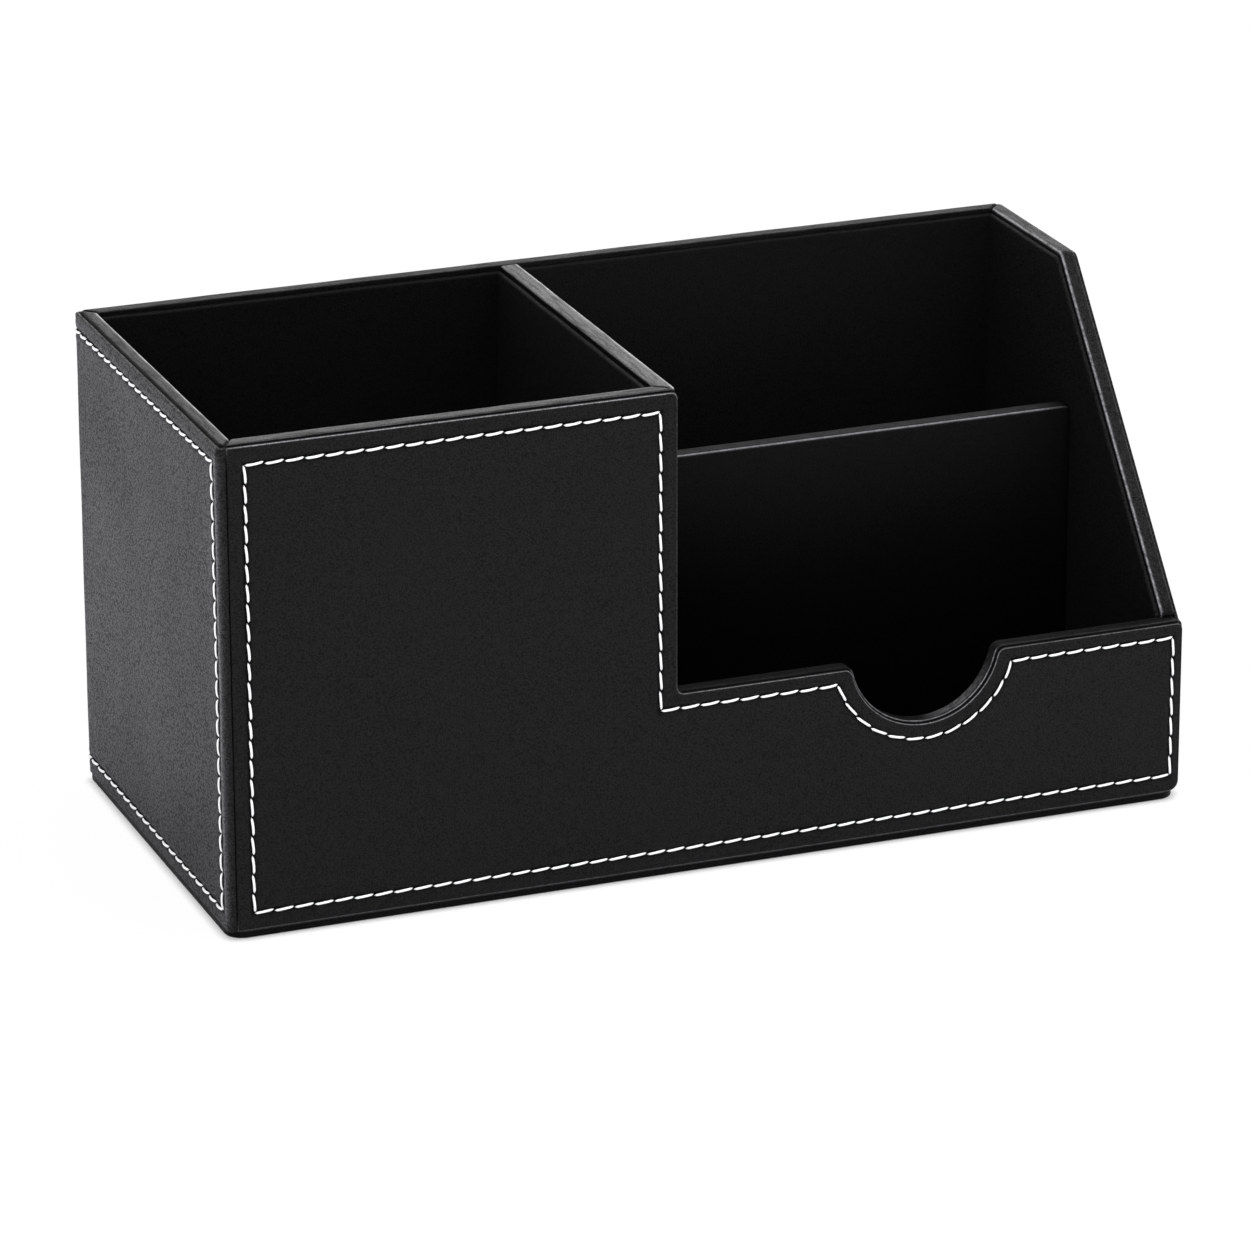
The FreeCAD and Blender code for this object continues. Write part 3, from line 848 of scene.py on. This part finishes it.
frontRuns = insetFront(0)
frontLines = (spacedLines(panelLow[0], panelHigh[0]), spacedLines(panelLow[2], panelHigh[2]))
frontCounts = stitchedSheet("front_panel_leather", "front_panel", frontEdge(), frontRuns,
                            insetFront(sheetLook["field"]), bendFront, frontLines, frontRows)
print("front panel:", stitching("front_stitching", frontRuns, frontCounts, bendFront, frontRows), "stitches")


# Side skin: one sheet laid out flat from the front right end round the back to the seam at the front left

sideRows = {
    "front": 3.5, "bottom": 4.3, "seam": 5.7, "top": 4.2,    # mm from edge to row
    "turn": 1.3,             # radius at the object's upright corners
    "turnSteps": 9,
    "lowCorner": 2.6, "lipCorner": 0.7,
    "reveal": 0.6,
    "thread": 0.72,
    "pitch": (5.2, 4.87, 4.87, 4.87, 4.87),    # for each run: bottom, seam, top, slope, front
    "bow": (-0.16, 0.16, 0.16, 0.06, 0.06),
    # the next three give, for each run, the painted highlight on the edge, the painted highlight on the strip
    # beside the row and the painted shade on the edge
    "edgeHighlight": (0.05, 0.0, 0.12, 0.12, 0.05),
    "rowSideHighlight": (0.0, 0.2, 0.03, 0.03, 0.0),
    "seamShade": (0.0, 1.0, 0.0, 0.0, 0.0),
    "sheetSeed": 12, "threadSeed": 22,
}
sideTurn = sideRows["turn"]
coreRight, coreBack = skinHigh[0] - sideTurn, skinHigh[1] - sideTurn
coreLeft, coreFront = skinLow[0] + sideTurn, skinLow[1] + sideTurn
quarter = sideTurn * pi / 2
sideKnots = np.cumsum([0, coreBack - rightLow[1], quarter, coreRight - coreLeft, quarter,
                       coreBack - coreFront, quarter, panelLow[0] - coreLeft])
sideCore = np.array([
    (coreRight, rightLow[1]), (coreRight, coreBack), (coreRight, coreBack), (coreLeft, coreBack),
    (coreLeft, coreBack), (coreLeft, coreFront), (coreLeft, coreFront), (panelLow[0], coreFront)])
sideHeading = np.array([0, 0, 1, 1, 2, 2, 3, 3]) * pi / 2
sideLength = sideKnots[-1]


def bendSide(along, up, height):
    # point = core(along) + (turn radius + height) * normal(along)
    # the core stands still while the normal turns
    heading = np.interp(along, sideKnots, sideHeading)
    reach = sideTurn + height
    x = np.interp(along, sideKnots, sideCore[:, 0]) + reach * np.cos(heading)
    y = np.interp(along, sideKnots, sideCore[:, 1]) + reach * np.sin(heading)
    return np.stack([x, y, up], axis=1)


def sideEdge():
    inset = sideRows["reveal"]
    bottom, top, lip = skinLow[2], skinHigh[2], opening["lip"] - inset
    slopeFoot, slopeTop = (opening[key] + inset * slopeShift - rightLow[1]
                           for key in ("slopeFoot", "slopeTop"))
    headRound, footRound = opening["slopeTopRound"] - inset, opening["slopeFootRound"] + inset
    upper = roundCorner((sideLength, top), (slopeTop, top), (slopeFoot, lip), headRound)
    lower = roundCorner((slopeTop, top), (slopeFoot, lip), (0, lip), footRound)
    front = roundCorner((slopeFoot, lip), (0, lip), (0, bottom), sideRows["lipCorner"])
    low = roundCorner((0, lip), (0, bottom), (sideLength, bottom), sideRows["lowCorner"])
    return outlineRuns([
        (low, cornerMiddle), (np.array([[sideLength, bottom]]), 0), (np.array([[sideLength, top]]), 0),
        (upper, cornerMiddle), (np.concatenate([lower, front]), 2 * cornerMiddle)])


def insetSide(extra):
    rows = sideRows
    front, seam = rows["front"] + extra, sideLength - rows["seam"] - extra
    bottom, top = skinLow[2] + rows["bottom"] + extra, skinHigh[2] - rows["top"] - extra
    inset = rows["reveal"] + rows["top"] + extra
    slopeTop = opening["slopeTop"] + inset * slopeShift - rightLow[1]
    corner = top - (slopeTop - front) * slopeRise
    return sharpRuns([np.array(point) for point in (
        (front, bottom), (seam, bottom), (seam, top), (slopeTop, top), (front, corner))])


sideRuns = insetSide(0)
turnLines = [np.linspace(sideKnots[k], sideKnots[k + 1], sideRows["turnSteps"]) for k in (1, 3, 5)]
sideLines = (np.unique(np.concatenate([spacedLines(0, sideLength), *turnLines]).round(4)),
             spacedLines(skinLow[2], skinHigh[2]))
sideCounts = stitchedSheet("side_skin_leather", "side_skin", sideEdge(), sideRuns,
                           insetSide(sheetLook["field"]), bendSide, sideLines, sideRows)
print("side skin:", stitching("side_stitching", sideRuns, sideCounts, bendSide, sideRows), "stitches")


# Turned edges: rims of the walls and dividers, and tops of the linings
# A profile is carried along two edges, A and B: up a leg under A, round a shoulder, over the top to B and
# down again.

rimProfile = {
    "round": (0.5, 0.45),
    "roundSteps": 9,
    "topSteps": 7,
    "crown": 0.03,
    "wobble": 0.05,
    "wobbleLength": 24.0,
    "under": 0.4,                # mm of leg that keeps the shoulder's shading to itself
    "crease": 0.4,               # depth of the mitre
    "creaseWidth": 0.35,
    "shade": 0.3,                # width of the mitre's dark line
    "paintedHighlight": (0.1, 0.0, 0.5),   # painted highlight along edge A, on top and along edge B
    "lineAt": (0.8, 1.15),       # turn of the shoulder, from its leg, where the painted highlight on edge A and B is strongest
    "line": 0.3,                 # width of the painted highlight line, as a turn
    "groove": 1.0,               # painted shade under shoulder A
    "grooveTurn": 0.8,           # turn of shoulder A where that painted shade ends
}
leftProfile = {**rimProfile, "round": (0.7, 0.6), "paintedHighlight": (0.0, 0.0, 0.85), "lineAt": (0.8, 1.2),
               "line": 0.4, "grooveTurn": 1.5}
backProfile = {**rimProfile, "paintedHighlight": (0.05, 0.0, 0.07)}
slopeProfile = {**rimProfile, "round": (0.6, 0.7), "paintedHighlight": (0.1, 0.0, 0.6), "lineAt": (0.8, 0.75),
                "line": 0.4}
stepProfile = {**rimProfile, "round": (0.5, 0.6), "paintedHighlight": (0.15, 0.0, 1.0), "lineAt": (0.8, 1.2),
               "line": 0.4}
letterProfile = {**rimProfile, "round": (0.6, 0.7), "crease": 0.3, "creaseWidth": 1.3, "shade": 1.0,
                 "paintedHighlight": (0.4, 0.06, 0.05), "line": 0.4, "groove": 0.0}
liningProfile = {**rimProfile, "round": (0.2, 0.75), "crown": 0.0, "wobble": 0.16,
                 "paintedHighlight": (0.0, 0.0, 0.0), "groove": 0.0}
wrapLook = {
    "thick": 0.6,
    "turn": 1.4,             # radius at the object's upright corners
    "endZone": 9.0,          # mm from a mitre where stations crowd
    "endSteps": 14,
    "spacing": 4.0,
    "overlap": 0.8,          # mm that the sloped rim runs over the lip's
    "tuck": 1.0,             # mm below the lip where the sloped rim's end is tucked in
    "slopeSteps": (26, 9, 34),    # behind the slope, round its top and down it
    "lipSteps": (24, 90, 18),     # right of the notch, in it and left of it
    # painted highlight along the lip's edge
    "lipLine": 0.1,
    "lipDull": 0.65,         # how dark the lip is left of the notch
    "dullReach": 2.0,        # mm below the lip where that ends
    "notchFrom": 1.0,        # mm below the lip where the notch's painted highlight starts
    # painted highlight round the notch's edge and on its right flank
    "notchLine": 0.4,
    "notchHighlight": 0.18,
    "letterFade": 9.0,       # mm at the letter divider's right end where its painted edge highlight fades
}


def upFrom(edge, axis):
    # the direction that the edge faces: square to its run and to the axis across it
    run = np.gradient(edge, axis=0)
    facing = unit(np.cross(axis, run))
    return facing * np.sign(facing[:, 2:])


def turnedEdge(edges, axis, width, bottoms, profile, ends, seed, paintedHighlight=None, dull=0):
    # point = A + share * (B - A) - (drop of the shoulders + dip of the mitres + sway) * up
    # returns points, painted highlight and painted shade, each as a grid of rows by stations along the edge
    edgeA, edgeB = edges
    upA, upB = upFrom(edgeA, axis), upFrom(edgeB, axis)
    turn = np.linspace(0, pi / 2, profile["roundSteps"])
    roundA, roundB = profile["round"]
    middle = np.linspace(roundA / width, 1 - roundB / width, profile["topSteps"])[1:-1]
    crown = -profile["crown"] * (1 - (2 * middle - 1) ** 2)
    insetA, dropA = roundedEdge(roundA, turn)
    insetB, dropB = roundedEdge(roundB, turn[::-1])
    share = np.r_[insetA / width, middle, 1 - insetB / width]
    drop = np.r_[dropA, crown, dropB]
    run = runOf((edgeA + edgeB) / 2)
    away = [run if end == "start" else run[-1] - run for end in ends]
    dip = profile["crease"] * sum(bell(gap, profile["creaseWidth"]) for gap in away)
    # painted shade along the mitres
    mitre = sum(bell(gap, profile["shade"]) for gap in away) + 0 * run
    sway = profile["wobble"] * softWaves(run, 0 * run, profile["wobbleLength"], seed)
    across = share[:, None, None]
    sunk = (drop[:, None] + dip + sway)[..., None]
    grid = edgeA + across * (edgeB - edgeA) - sunk * (upA + across * (upB - upA))
    legs = []
    for row, bottom in ((grid[0], bottoms[0]), (grid[-1], bottoms[1])):
        under, leg = np.array(row), np.array(row)
        under[:, 2] -= profile["under"]
        leg[:, 2] = np.minimum(bottom, under[:, 2] - profile["under"])
        legs.append((under, leg))
    grid = np.concatenate([[legs[0][1], legs[0][0]], grid, legs[1]])

    # painted highlight lines along edge A and edge B, and over the top
    lineA, lineB = (bell(turn - place, profile["line"]) for place in profile["lineAt"])
    bare = np.zeros(len(turn))
    weights = np.array([np.r_[0, 0, lineA, 0 * middle, bare, 0, 0],
                        np.r_[0, 0, bare, 0 * middle + 1, bare + 1, 0, 0],
                        np.r_[0, 0, bare, 0 * middle, lineB[::-1], 0, 0]])
    strengths = np.array([strength + 0 * run for strength in paintedHighlight or profile["paintedHighlight"]])
    highlightLevel = (weights[:, :, None] * strengths[:, None]).max(axis=0)
    # painted shade under shoulder A
    fading = np.clip(1 - turn / profile["grooveTurn"], 0, 1)
    groove = profile["groove"] * np.r_[1, 1, fading, np.zeros(len(grid) - len(turn) - 2)]
    return grid, highlightLevel, np.maximum(groove[:, None], mitre + dull)


def gridPiece(name, strips, finish, node, solid):
    # open grids become leather of one thickness; solid ones are closed underneath and at both ends
    points, faces, start = [], [], 0
    for grid, paintedHighlight, groove in strips:
        rows, columns = grid.shape[:2]
        quads = gridFaces(rows, columns, closed=solid)
        middle = grid[:, columns // 2 - 1:columns // 2 + 1]
        top = rows // 2
        facing = np.cross(middle[top, 1] - middle[top, 0], middle[top + 1, 0] - middle[top - 1, 0])[2]
        flip = -1 if facing < 0 else 1
        faces.append(start + quads[:, ::flip])
        if solid:
            ends = np.arange(rows) * columns
            faces.append(start + ends[None, ::flip])
            faces.append(start + (ends + columns - 1)[None, ::-flip])
        points.append(grid.reshape(-1, 3))
        start += rows * columns
    piece = addPiece(name, np.concatenate(points), faces, finish, [node])
    # painted highlight in the edge layer, painted shade in the other, for the leather finish
    paint(piece, "edge", np.concatenate([paintedHighlight.ravel() for grid, paintedHighlight, groove in strips]))
    paint(piece, "paintedShade", np.concatenate([groove.ravel() for grid, paintedHighlight, groove in strips]))
    if not solid:
        thick = piece.modifiers.new("leatherThickness", "SOLIDIFY")
        thick.thickness = wrapLook["thick"] * mm
        thick.offset = -1


def addRim(node, strips, finish=None):
    gridPiece(node + "_leather", strips, finish or node, node, False)


def atLevel(plan, level):
    return np.column_stack([plan, np.full(len(plan), level)])


def atX(x, line):
    return np.column_stack([np.full(len(line), x), line])


def atY(y, line):
    return np.column_stack([line[:, 0], np.full(len(line), y), line[:, 1]])


def wallShares(length):
    # stations along a wall, crowded towards both mitres
    zone = wrapLook["endZone"] / length
    ends = zone * crowded(wrapLook["endSteps"], "start")
    return np.r_[ends, np.linspace(zone, 1 - zone, int(length / wrapLook["spacing"]))[1:-1], 1 - ends[::-1]]


def planTurn(before, corner, after, split=cornerMiddle):
    # rounded corner of the rim in plan, as the part before a point of its arc and the part after it
    arc = roundCorner(before, corner, after, wrapLook["turn"])
    return arc[:split + 1], arc[split:]


rimLeft, rimRight, rimFront, rimBack = leftLow[0], rightHigh[0], leftLow[1], leftHigh[1]
bayLeft, bayRight = leftHigh[0], rightLow[0]
bayFront, bayBack = boxOf("front_wrap")[1][1], boxOf("back_wrap")[0][1]
rimWidth = leftHigh[0] - leftLow[0]
penRight = dividerLow[0]
dividerWidth = step - penRight
acrossX, acrossY = np.array([1.0, 0, 0]), np.array([0, 1.0, 0])
frontLeftTurn = planTurn((step, rimFront), (rimLeft, rimFront), (rimLeft, rimBack), split=1)
backLeftTurn = planTurn((rimLeft, rimFront), (rimLeft, rimBack), (rimRight, rimBack))
backRightTurn = planTurn((rimLeft, rimBack), (rimRight, rimBack), (rimRight, rimFront))
stepTurn = planTurn((step, rimBack), (step, rimFront), (rimLeft, rimFront))
wallFeet = (foot, floorTop)    # levels where the legs of a wall's rim end, outside and inside


def straightWall(outer, inner, level):
    shares = wallShares(lengthOf(outer))
    return pointsAt(atLevel(outer, level), shares), pointsAt(atLevel(np.array(inner), level), shares)


def joinRuns(runs):
    # stations along several stretches, each given as two paths and the shares along them
    first = [pointsAt(pathA, shares)[min(k, 1):] for k, (pathA, pathB, shares) in enumerate(runs)]
    second = [pointsAt(pathB, shares)[min(k, 1):] for k, (pathA, pathB, shares) in enumerate(runs)]
    return np.concatenate(first), np.concatenate(second)


def slopeLine(inset):
    # arc at the top of the slope, in Y and Z
    lip, top = opening["lip"] - inset, rimTop - inset
    slopeFoot, slopeTop = (opening[key] + inset * slopeShift for key in ("slopeFoot", "slopeTop"))
    return roundCorner((rimBack, top), (slopeTop, top), (slopeFoot, lip), opening["slopeTopRound"] - inset)


def addStraightRim(node, outer, inner, axis, profile, seed):
    edges = straightWall(outer, inner, rimTop)
    addRim(node, [turnedEdge(edges, axis, rimWidth, wallFeet, profile, ("start", "end"), seed)])


def endFold(strip, level):
    # adds a last station, with the mitre's painted shade, where the turned edge folds down to a level
    grid, paintedHighlight, groove = strip
    column = np.array(grid[:, -1:])
    column[..., 2] = np.minimum(column[..., 2], level)
    return (np.concatenate([grid, column], axis=1), np.concatenate([paintedHighlight, 0 * paintedHighlight[:, :1]], axis=1),
            np.concatenate([groove, groove[:, :1]], axis=1))


def addSlopedRim():
    upper = slopeLine(0)
    end = bayFront - wrapLook["overlap"]
    butt = np.array([end, opening["lip"] + (end - opening["slopeFoot"]) * slopeRise])
    backA = np.concatenate([atLevel(backRightTurn[1], rimTop), [[rimRight, *upper[0]]]])
    backB = np.array([[bayRight, bayBack, rimTop], [bayRight, *upper[0]]])
    slope = np.array([upper[-1], butt])
    backSteps, topSteps, slopeSteps = wrapLook["slopeSteps"]
    edges = joinRuns([
        (backA, backB, crowded(backSteps, "start")),
        (atX(rimRight, upper), atX(bayRight, upper), np.linspace(0, 1, topSteps)),
        (atX(rimRight, slope), atX(bayRight, slope), np.linspace(0, 1, slopeSteps))])
    strip = turnedEdge(edges, acrossX, rimWidth, wallFeet, slopeProfile, ("start",), seed=33)
    addRim("right_wrap", [endFold(strip, opening["lip"] - wrapLook["tuck"])])


def addFrontRim():
    penA = np.concatenate([stepTurn[1], frontLeftTurn[0]])
    pen = straightWall(penA, [(penRight, bayFront), (bayLeft, bayFront)], rimTop)
    lip = opening["lip"]
    notch = np.concatenate(notchLine(0))
    right = np.array([[rimRight - rimProfile["round"][0], lip], notch[0]])
    left = np.array([notch[-1], [step, lip]])
    rightSteps, notchSteps, leftSteps = wrapLook["lipSteps"]
    low = joinRuns([(atY(rimFront, line), atY(bayFront, line), shares) for line, shares in (
        (right, crowded(rightSteps, "start")), (notch, np.linspace(0, 1, notchSteps)),
        (left, crowded(leftSteps, "end")))])
    x, z = low[0][:, 0], low[0][:, 2]
    inNotch = z < lip - wrapLook["notchFrom"]
    flank = np.clip((x - notchX) / opening["notchRadius"], 0, 1)    # painted highlight on the notch's right flank
    highlightLevel = wrapLook["notchHighlight"] * np.sin(pi * flank) * inNotch
    paintedHighlight = (wrapLook["notchLine"] * inNotch, highlightLevel, wrapLook["lipLine"])
    dull = wrapLook["lipDull"] * np.clip(1 + (z - lip) / wrapLook["dullReach"], 0, 1) * (x < notchX)
    addRim("front_wrap", [
        turnedEdge(pen, acrossY, rimWidth, wallFeet, rimProfile, ("start", "end"), seed=34),
        turnedEdge(low, acrossY, rimWidth, wallFeet, rimProfile, (), seed=35, paintedHighlight=paintedHighlight, dull=dull)])


def addPenDividerRim():
    rightSide = np.concatenate([[[step, bayBack]], stepTurn[0]])
    edges = straightWall(np.array([(penRight, bayBack), (penRight, bayFront)]), rightSide, rimTop)
    floor = np.where(edges[1][:, 1] < bayFront, opening["lip"], floorTop)
    addRim("pen_divider_wrap", [turnedEdge(edges, acrossX, dividerWidth, (floorTop, floor), stepProfile,
                                           ("start", "end"), seed=36)])


def addLetterDividerRim():
    low, high = boxOf("letter_divider_wrap")
    front, back = np.array([(low[0], low[1]), (high[0], low[1])]), [(low[0], high[1]), (high[0], high[1])]
    edges = straightWall(front, back, high[2])
    fade = np.clip((high[0] - edges[0][:, 0]) / wrapLook["letterFade"], 0, 1)
    paintedHighlight = tuple(level * fade for level in letterProfile["paintedHighlight"])
    strip = turnedEdge(edges, acrossY, high[1] - low[1], (floorTop, floorTop), letterProfile, ("end",),
                       seed=37, paintedHighlight=paintedHighlight)
    addRim("letter_divider_wrap", [strip], "lining")


def addRightBoard():
    # outline in Y and Z, carried through the board's thickness to a mitred back end
    # in front it ends where the lip's rim begins
    low, high = boxOf("right_board")
    upper = slopeLine(rimTop - high[2])
    end = upper[-1] + (bayFront - upper[-1, 0]) * np.array([1, slopeRise])
    outline = np.array([(bayFront, low[2]), (high[1], low[2]), (high[1], high[2]), *upper, end])
    inner = np.array(outline)
    inner[1:3, 0] -= high[0] - low[0]    # the two points at the back
    points = np.concatenate([atX(low[0], inner), atX(high[0], outline)])
    ring = np.arange(len(outline))
    faces = [ringFaces(2, len(outline)), ring[None, ::-1], ring[None] + len(outline)]
    addPiece("right_board_core", points, faces, "board", ["right_board"])


addRightBoard()
addStraightRim("left_wrap", np.concatenate([frontLeftTurn[1], backLeftTurn[0]]),
               [(bayLeft, bayFront), (bayLeft, bayBack)], acrossX, leftProfile, seed=31)
addStraightRim("back_wrap", np.concatenate([backLeftTurn[1], backRightTurn[0]]),
               [(bayLeft, bayBack), (bayRight, bayBack)], acrossY, backProfile, seed=32)
addSlopedRim()
addFrontRim()
addPenDividerRim()
addLetterDividerRim()
print("rims turned over the boards")


# Linings: sheets with a soft upper edge, a little below the rims

liningThick = lipHigh[1] - lipLow[1]
liningDrop = opening["lip"] - lipHigh[2]
liningSteps = {"back": 14, "slopeTop": 8, "slope": 26, "lip": 14, "notch": 70}
flatLinings = {
    "pen_back_lining": "front",      # the side of the lining that shows
    "pen_front_lining": "back",
    "pen_left_lining": "right",
    "pen_divider_lining": "left",
    "letter_back_lining": "front",
    "tray_divider_lining": "right",
}
opposite = {"left": "right", "right": "left", "front": "back", "back": "front"}


def addLining(node, facing, edges, axis, seed):
    strip = turnedEdge(edges, axis, liningThick, (floorTop, floorTop), liningProfile, (), seed)
    # linings that face left take the lighter copy, which paints their light
    finish = "litLining" if facing == "left" else "lining"
    gridPiece(node + "_sheet", [strip], finish, node, True)


def addFlatLining(node, facing, seed):
    low, high = boxOf(node)
    places = {"left": low[0], "right": high[0], "front": low[1], "back": high[1]}
    sides = (opposite[facing], facing)
    if facing in ("left", "right"):
        plans = [np.array([(places[side], low[1]), (places[side], high[1])]) for side in sides]
        axis = acrossX
    else:
        plans = [np.array([(low[0], places[side]), (high[0], places[side])]) for side in sides]
        axis = acrossY
    shares = np.linspace(0, 1, int(lengthOf(plans[0]) / wrapLook["spacing"]))
    addLining(node, facing, [pointsAt(atLevel(plan, high[2]), shares) for plan in plans], axis, seed)


def addSlopedLining(seed):
    low, high = boxOf("right_lining")
    upper = slopeLine(liningDrop)
    slopeTop = opening["slopeTop"] + liningDrop * slopeShift
    end = np.array([low[1], high[2] - (slopeTop - low[1]) * slopeRise])
    lines = {"back": np.array([[high[1], high[2]], upper[0]]), "slopeTop": upper,
             "slope": np.array([upper[-1], end])}
    edges = joinRuns([(atX(high[0], line), atX(low[0], line), np.linspace(0, 1, liningSteps[key]))
                      for key, line in lines.items()])
    addLining("right_lining", "left", edges, acrossX, seed)


def addNotchedLining(seed):
    low, high = boxOf("lip_lining")
    notch = np.concatenate(notchLine(liningDrop))
    right = np.array([[high[0], high[2]], notch[0]])
    left = np.array([notch[-1], [low[0], high[2]]])
    edges = joinRuns([(atY(low[1], line), atY(high[1], line), np.linspace(0, 1, liningSteps[key]))
                      for key, line in (("lip", right), ("notch", notch), ("lip", left))])
    addLining("lip_lining", "back", edges, acrossY, seed)


for seed, (node, facing) in enumerate(flatLinings.items(), start=41):
    addFlatLining(node, facing, seed)
addSlopedLining(seed=47)
addNotchedLining(seed=48)
print("linings set in")


# Floor pads, base plate and felt: slabs with a rounded edge and a crowned top

padLook = {"corners": (1.2,) * 4, "edge": 0.45, "crown": 0.35, "finish": "pad", "slot": "floor_pad"}
slabs = {
    "pen_floor_pad": padLook,
    "letter_floor_pad": padLook,
    "tray_floor_pad": padLook,
    "base_plate": {
        "corners": (4.5, 4.5, 1.2, 1.2),    # front left, front right, back right, back left
        "edge": 0.4,
        "crown": 0.0,
        "skirt": 0.5,        # mm that the cover hangs below the plate, round a recess for the felt
        "skirtWidth": 2.0,
        "hem": 2.6,          # mm from a sharp corner to the spot that its hem is drawn towards
        "upperHighlight": 0.1,          # how strong the painted highlight on the upper edge is
        "finish": "base_plate",
        "slot": "leather",
    },
    "base_felt": {"corners": (4.5,) * 4, "edge": 0.2, "crown": 0.0, "finish": "felt", "slot": "felt"},
}
slabLook = {"edgeSteps": 6, "crownReach": 5.0, "spacing": 6.0, "clear": 2.4, "padFill": 0.35}


def roundedSlab(node, look):
    # loop of the plan at each (inset, height): bottom edge, side and top edge
    # top = level + crown * (1 - exp(-depth / reach)), which rises towards the middle
    low, high = boxOf(node)
    left, front, right, back = *low[:2], *high[:2]
    plan = [(left, front), (right, front), (right, back), (left, back)]
    arcs = [roundCorner(plan[k - 1], plan[k], plan[(k + 1) % 4], radius)
            for k, radius in enumerate(look["corners"])]
    hems = [max(radius, look.get("hem", 0)) for radius in look["corners"]]
    hubs = [np.clip(arc, low[:2] + hem, high[:2] - hem) for arc, hem in zip(arcs, hems)]
    loop = np.concatenate(arcs)
    inwards = unit(np.concatenate(hubs) - loop)
    turn = np.linspace(0, pi / 2, slabLook["edgeSteps"])
    top, skirt = high[2] - look["crown"], look.get("skirt", 0)
    near, down = roundedEdge(look["edge"], turn)
    inset = np.r_[down, near]
    level = np.r_[low[2] - skirt + near, top - down]
    if skirt:
        inset = np.r_[look["skirtWidth"], look["skirtWidth"], inset]
        level = np.r_[low[2], low[2] - skirt, level]
    rings = loop + inset[:, None, None] * inwards
    rows, columns = rings.shape[:2]
    sides = np.column_stack([rings.reshape(-1, 2), np.repeat(level, columns)])
    ends = [(low[k] + slabLook["spacing"] / 2, high[k] - slabLook["spacing"] / 2) for k in (0, 1)]
    lines = [np.linspace(start, end, int((end - start) / slabLook["spacing"]) + 1) for start, end in ends]
    inside, upper = fillInside(rings[-1], *lines, slabLook["clear"])
    under, lower = fillInside(rings[0], *lines, slabLook["clear"])
    depth = np.minimum(inside - low[:2], high[:2] - inside).min(axis=1)
    crown = look["crown"] * (1 - np.exp(-depth / slabLook["crownReach"]))
    points = np.concatenate([sides, np.column_stack([inside, top + crown]), atLevel(under, low[2])])
    last = (rows - 1) * columns
    lower = np.where(lower < columns, lower, lower + last + len(inside))
    faces = [ringFaces(rows, columns), upper + last, lower[:, ::-1]]
    piece = addPiece(node + "_slab", points, faces, look["finish"], [node])
    # painted highlight along the upper edge
    if "upperHighlight" in look:
        paintedHighlight = np.r_[np.zeros(rows - len(turn)), look["upperHighlight"] * np.sin(2 * turn)]
        paint(piece, "edge", np.r_[np.repeat(paintedHighlight, columns), np.zeros(len(points) - rows * columns)])
    return piece


for node, look in slabs.items():
    slab = roundedSlab(node, look)
    look["finish"] == "pad"
    look["finish"] == "felt"
print("floor pads and base made")
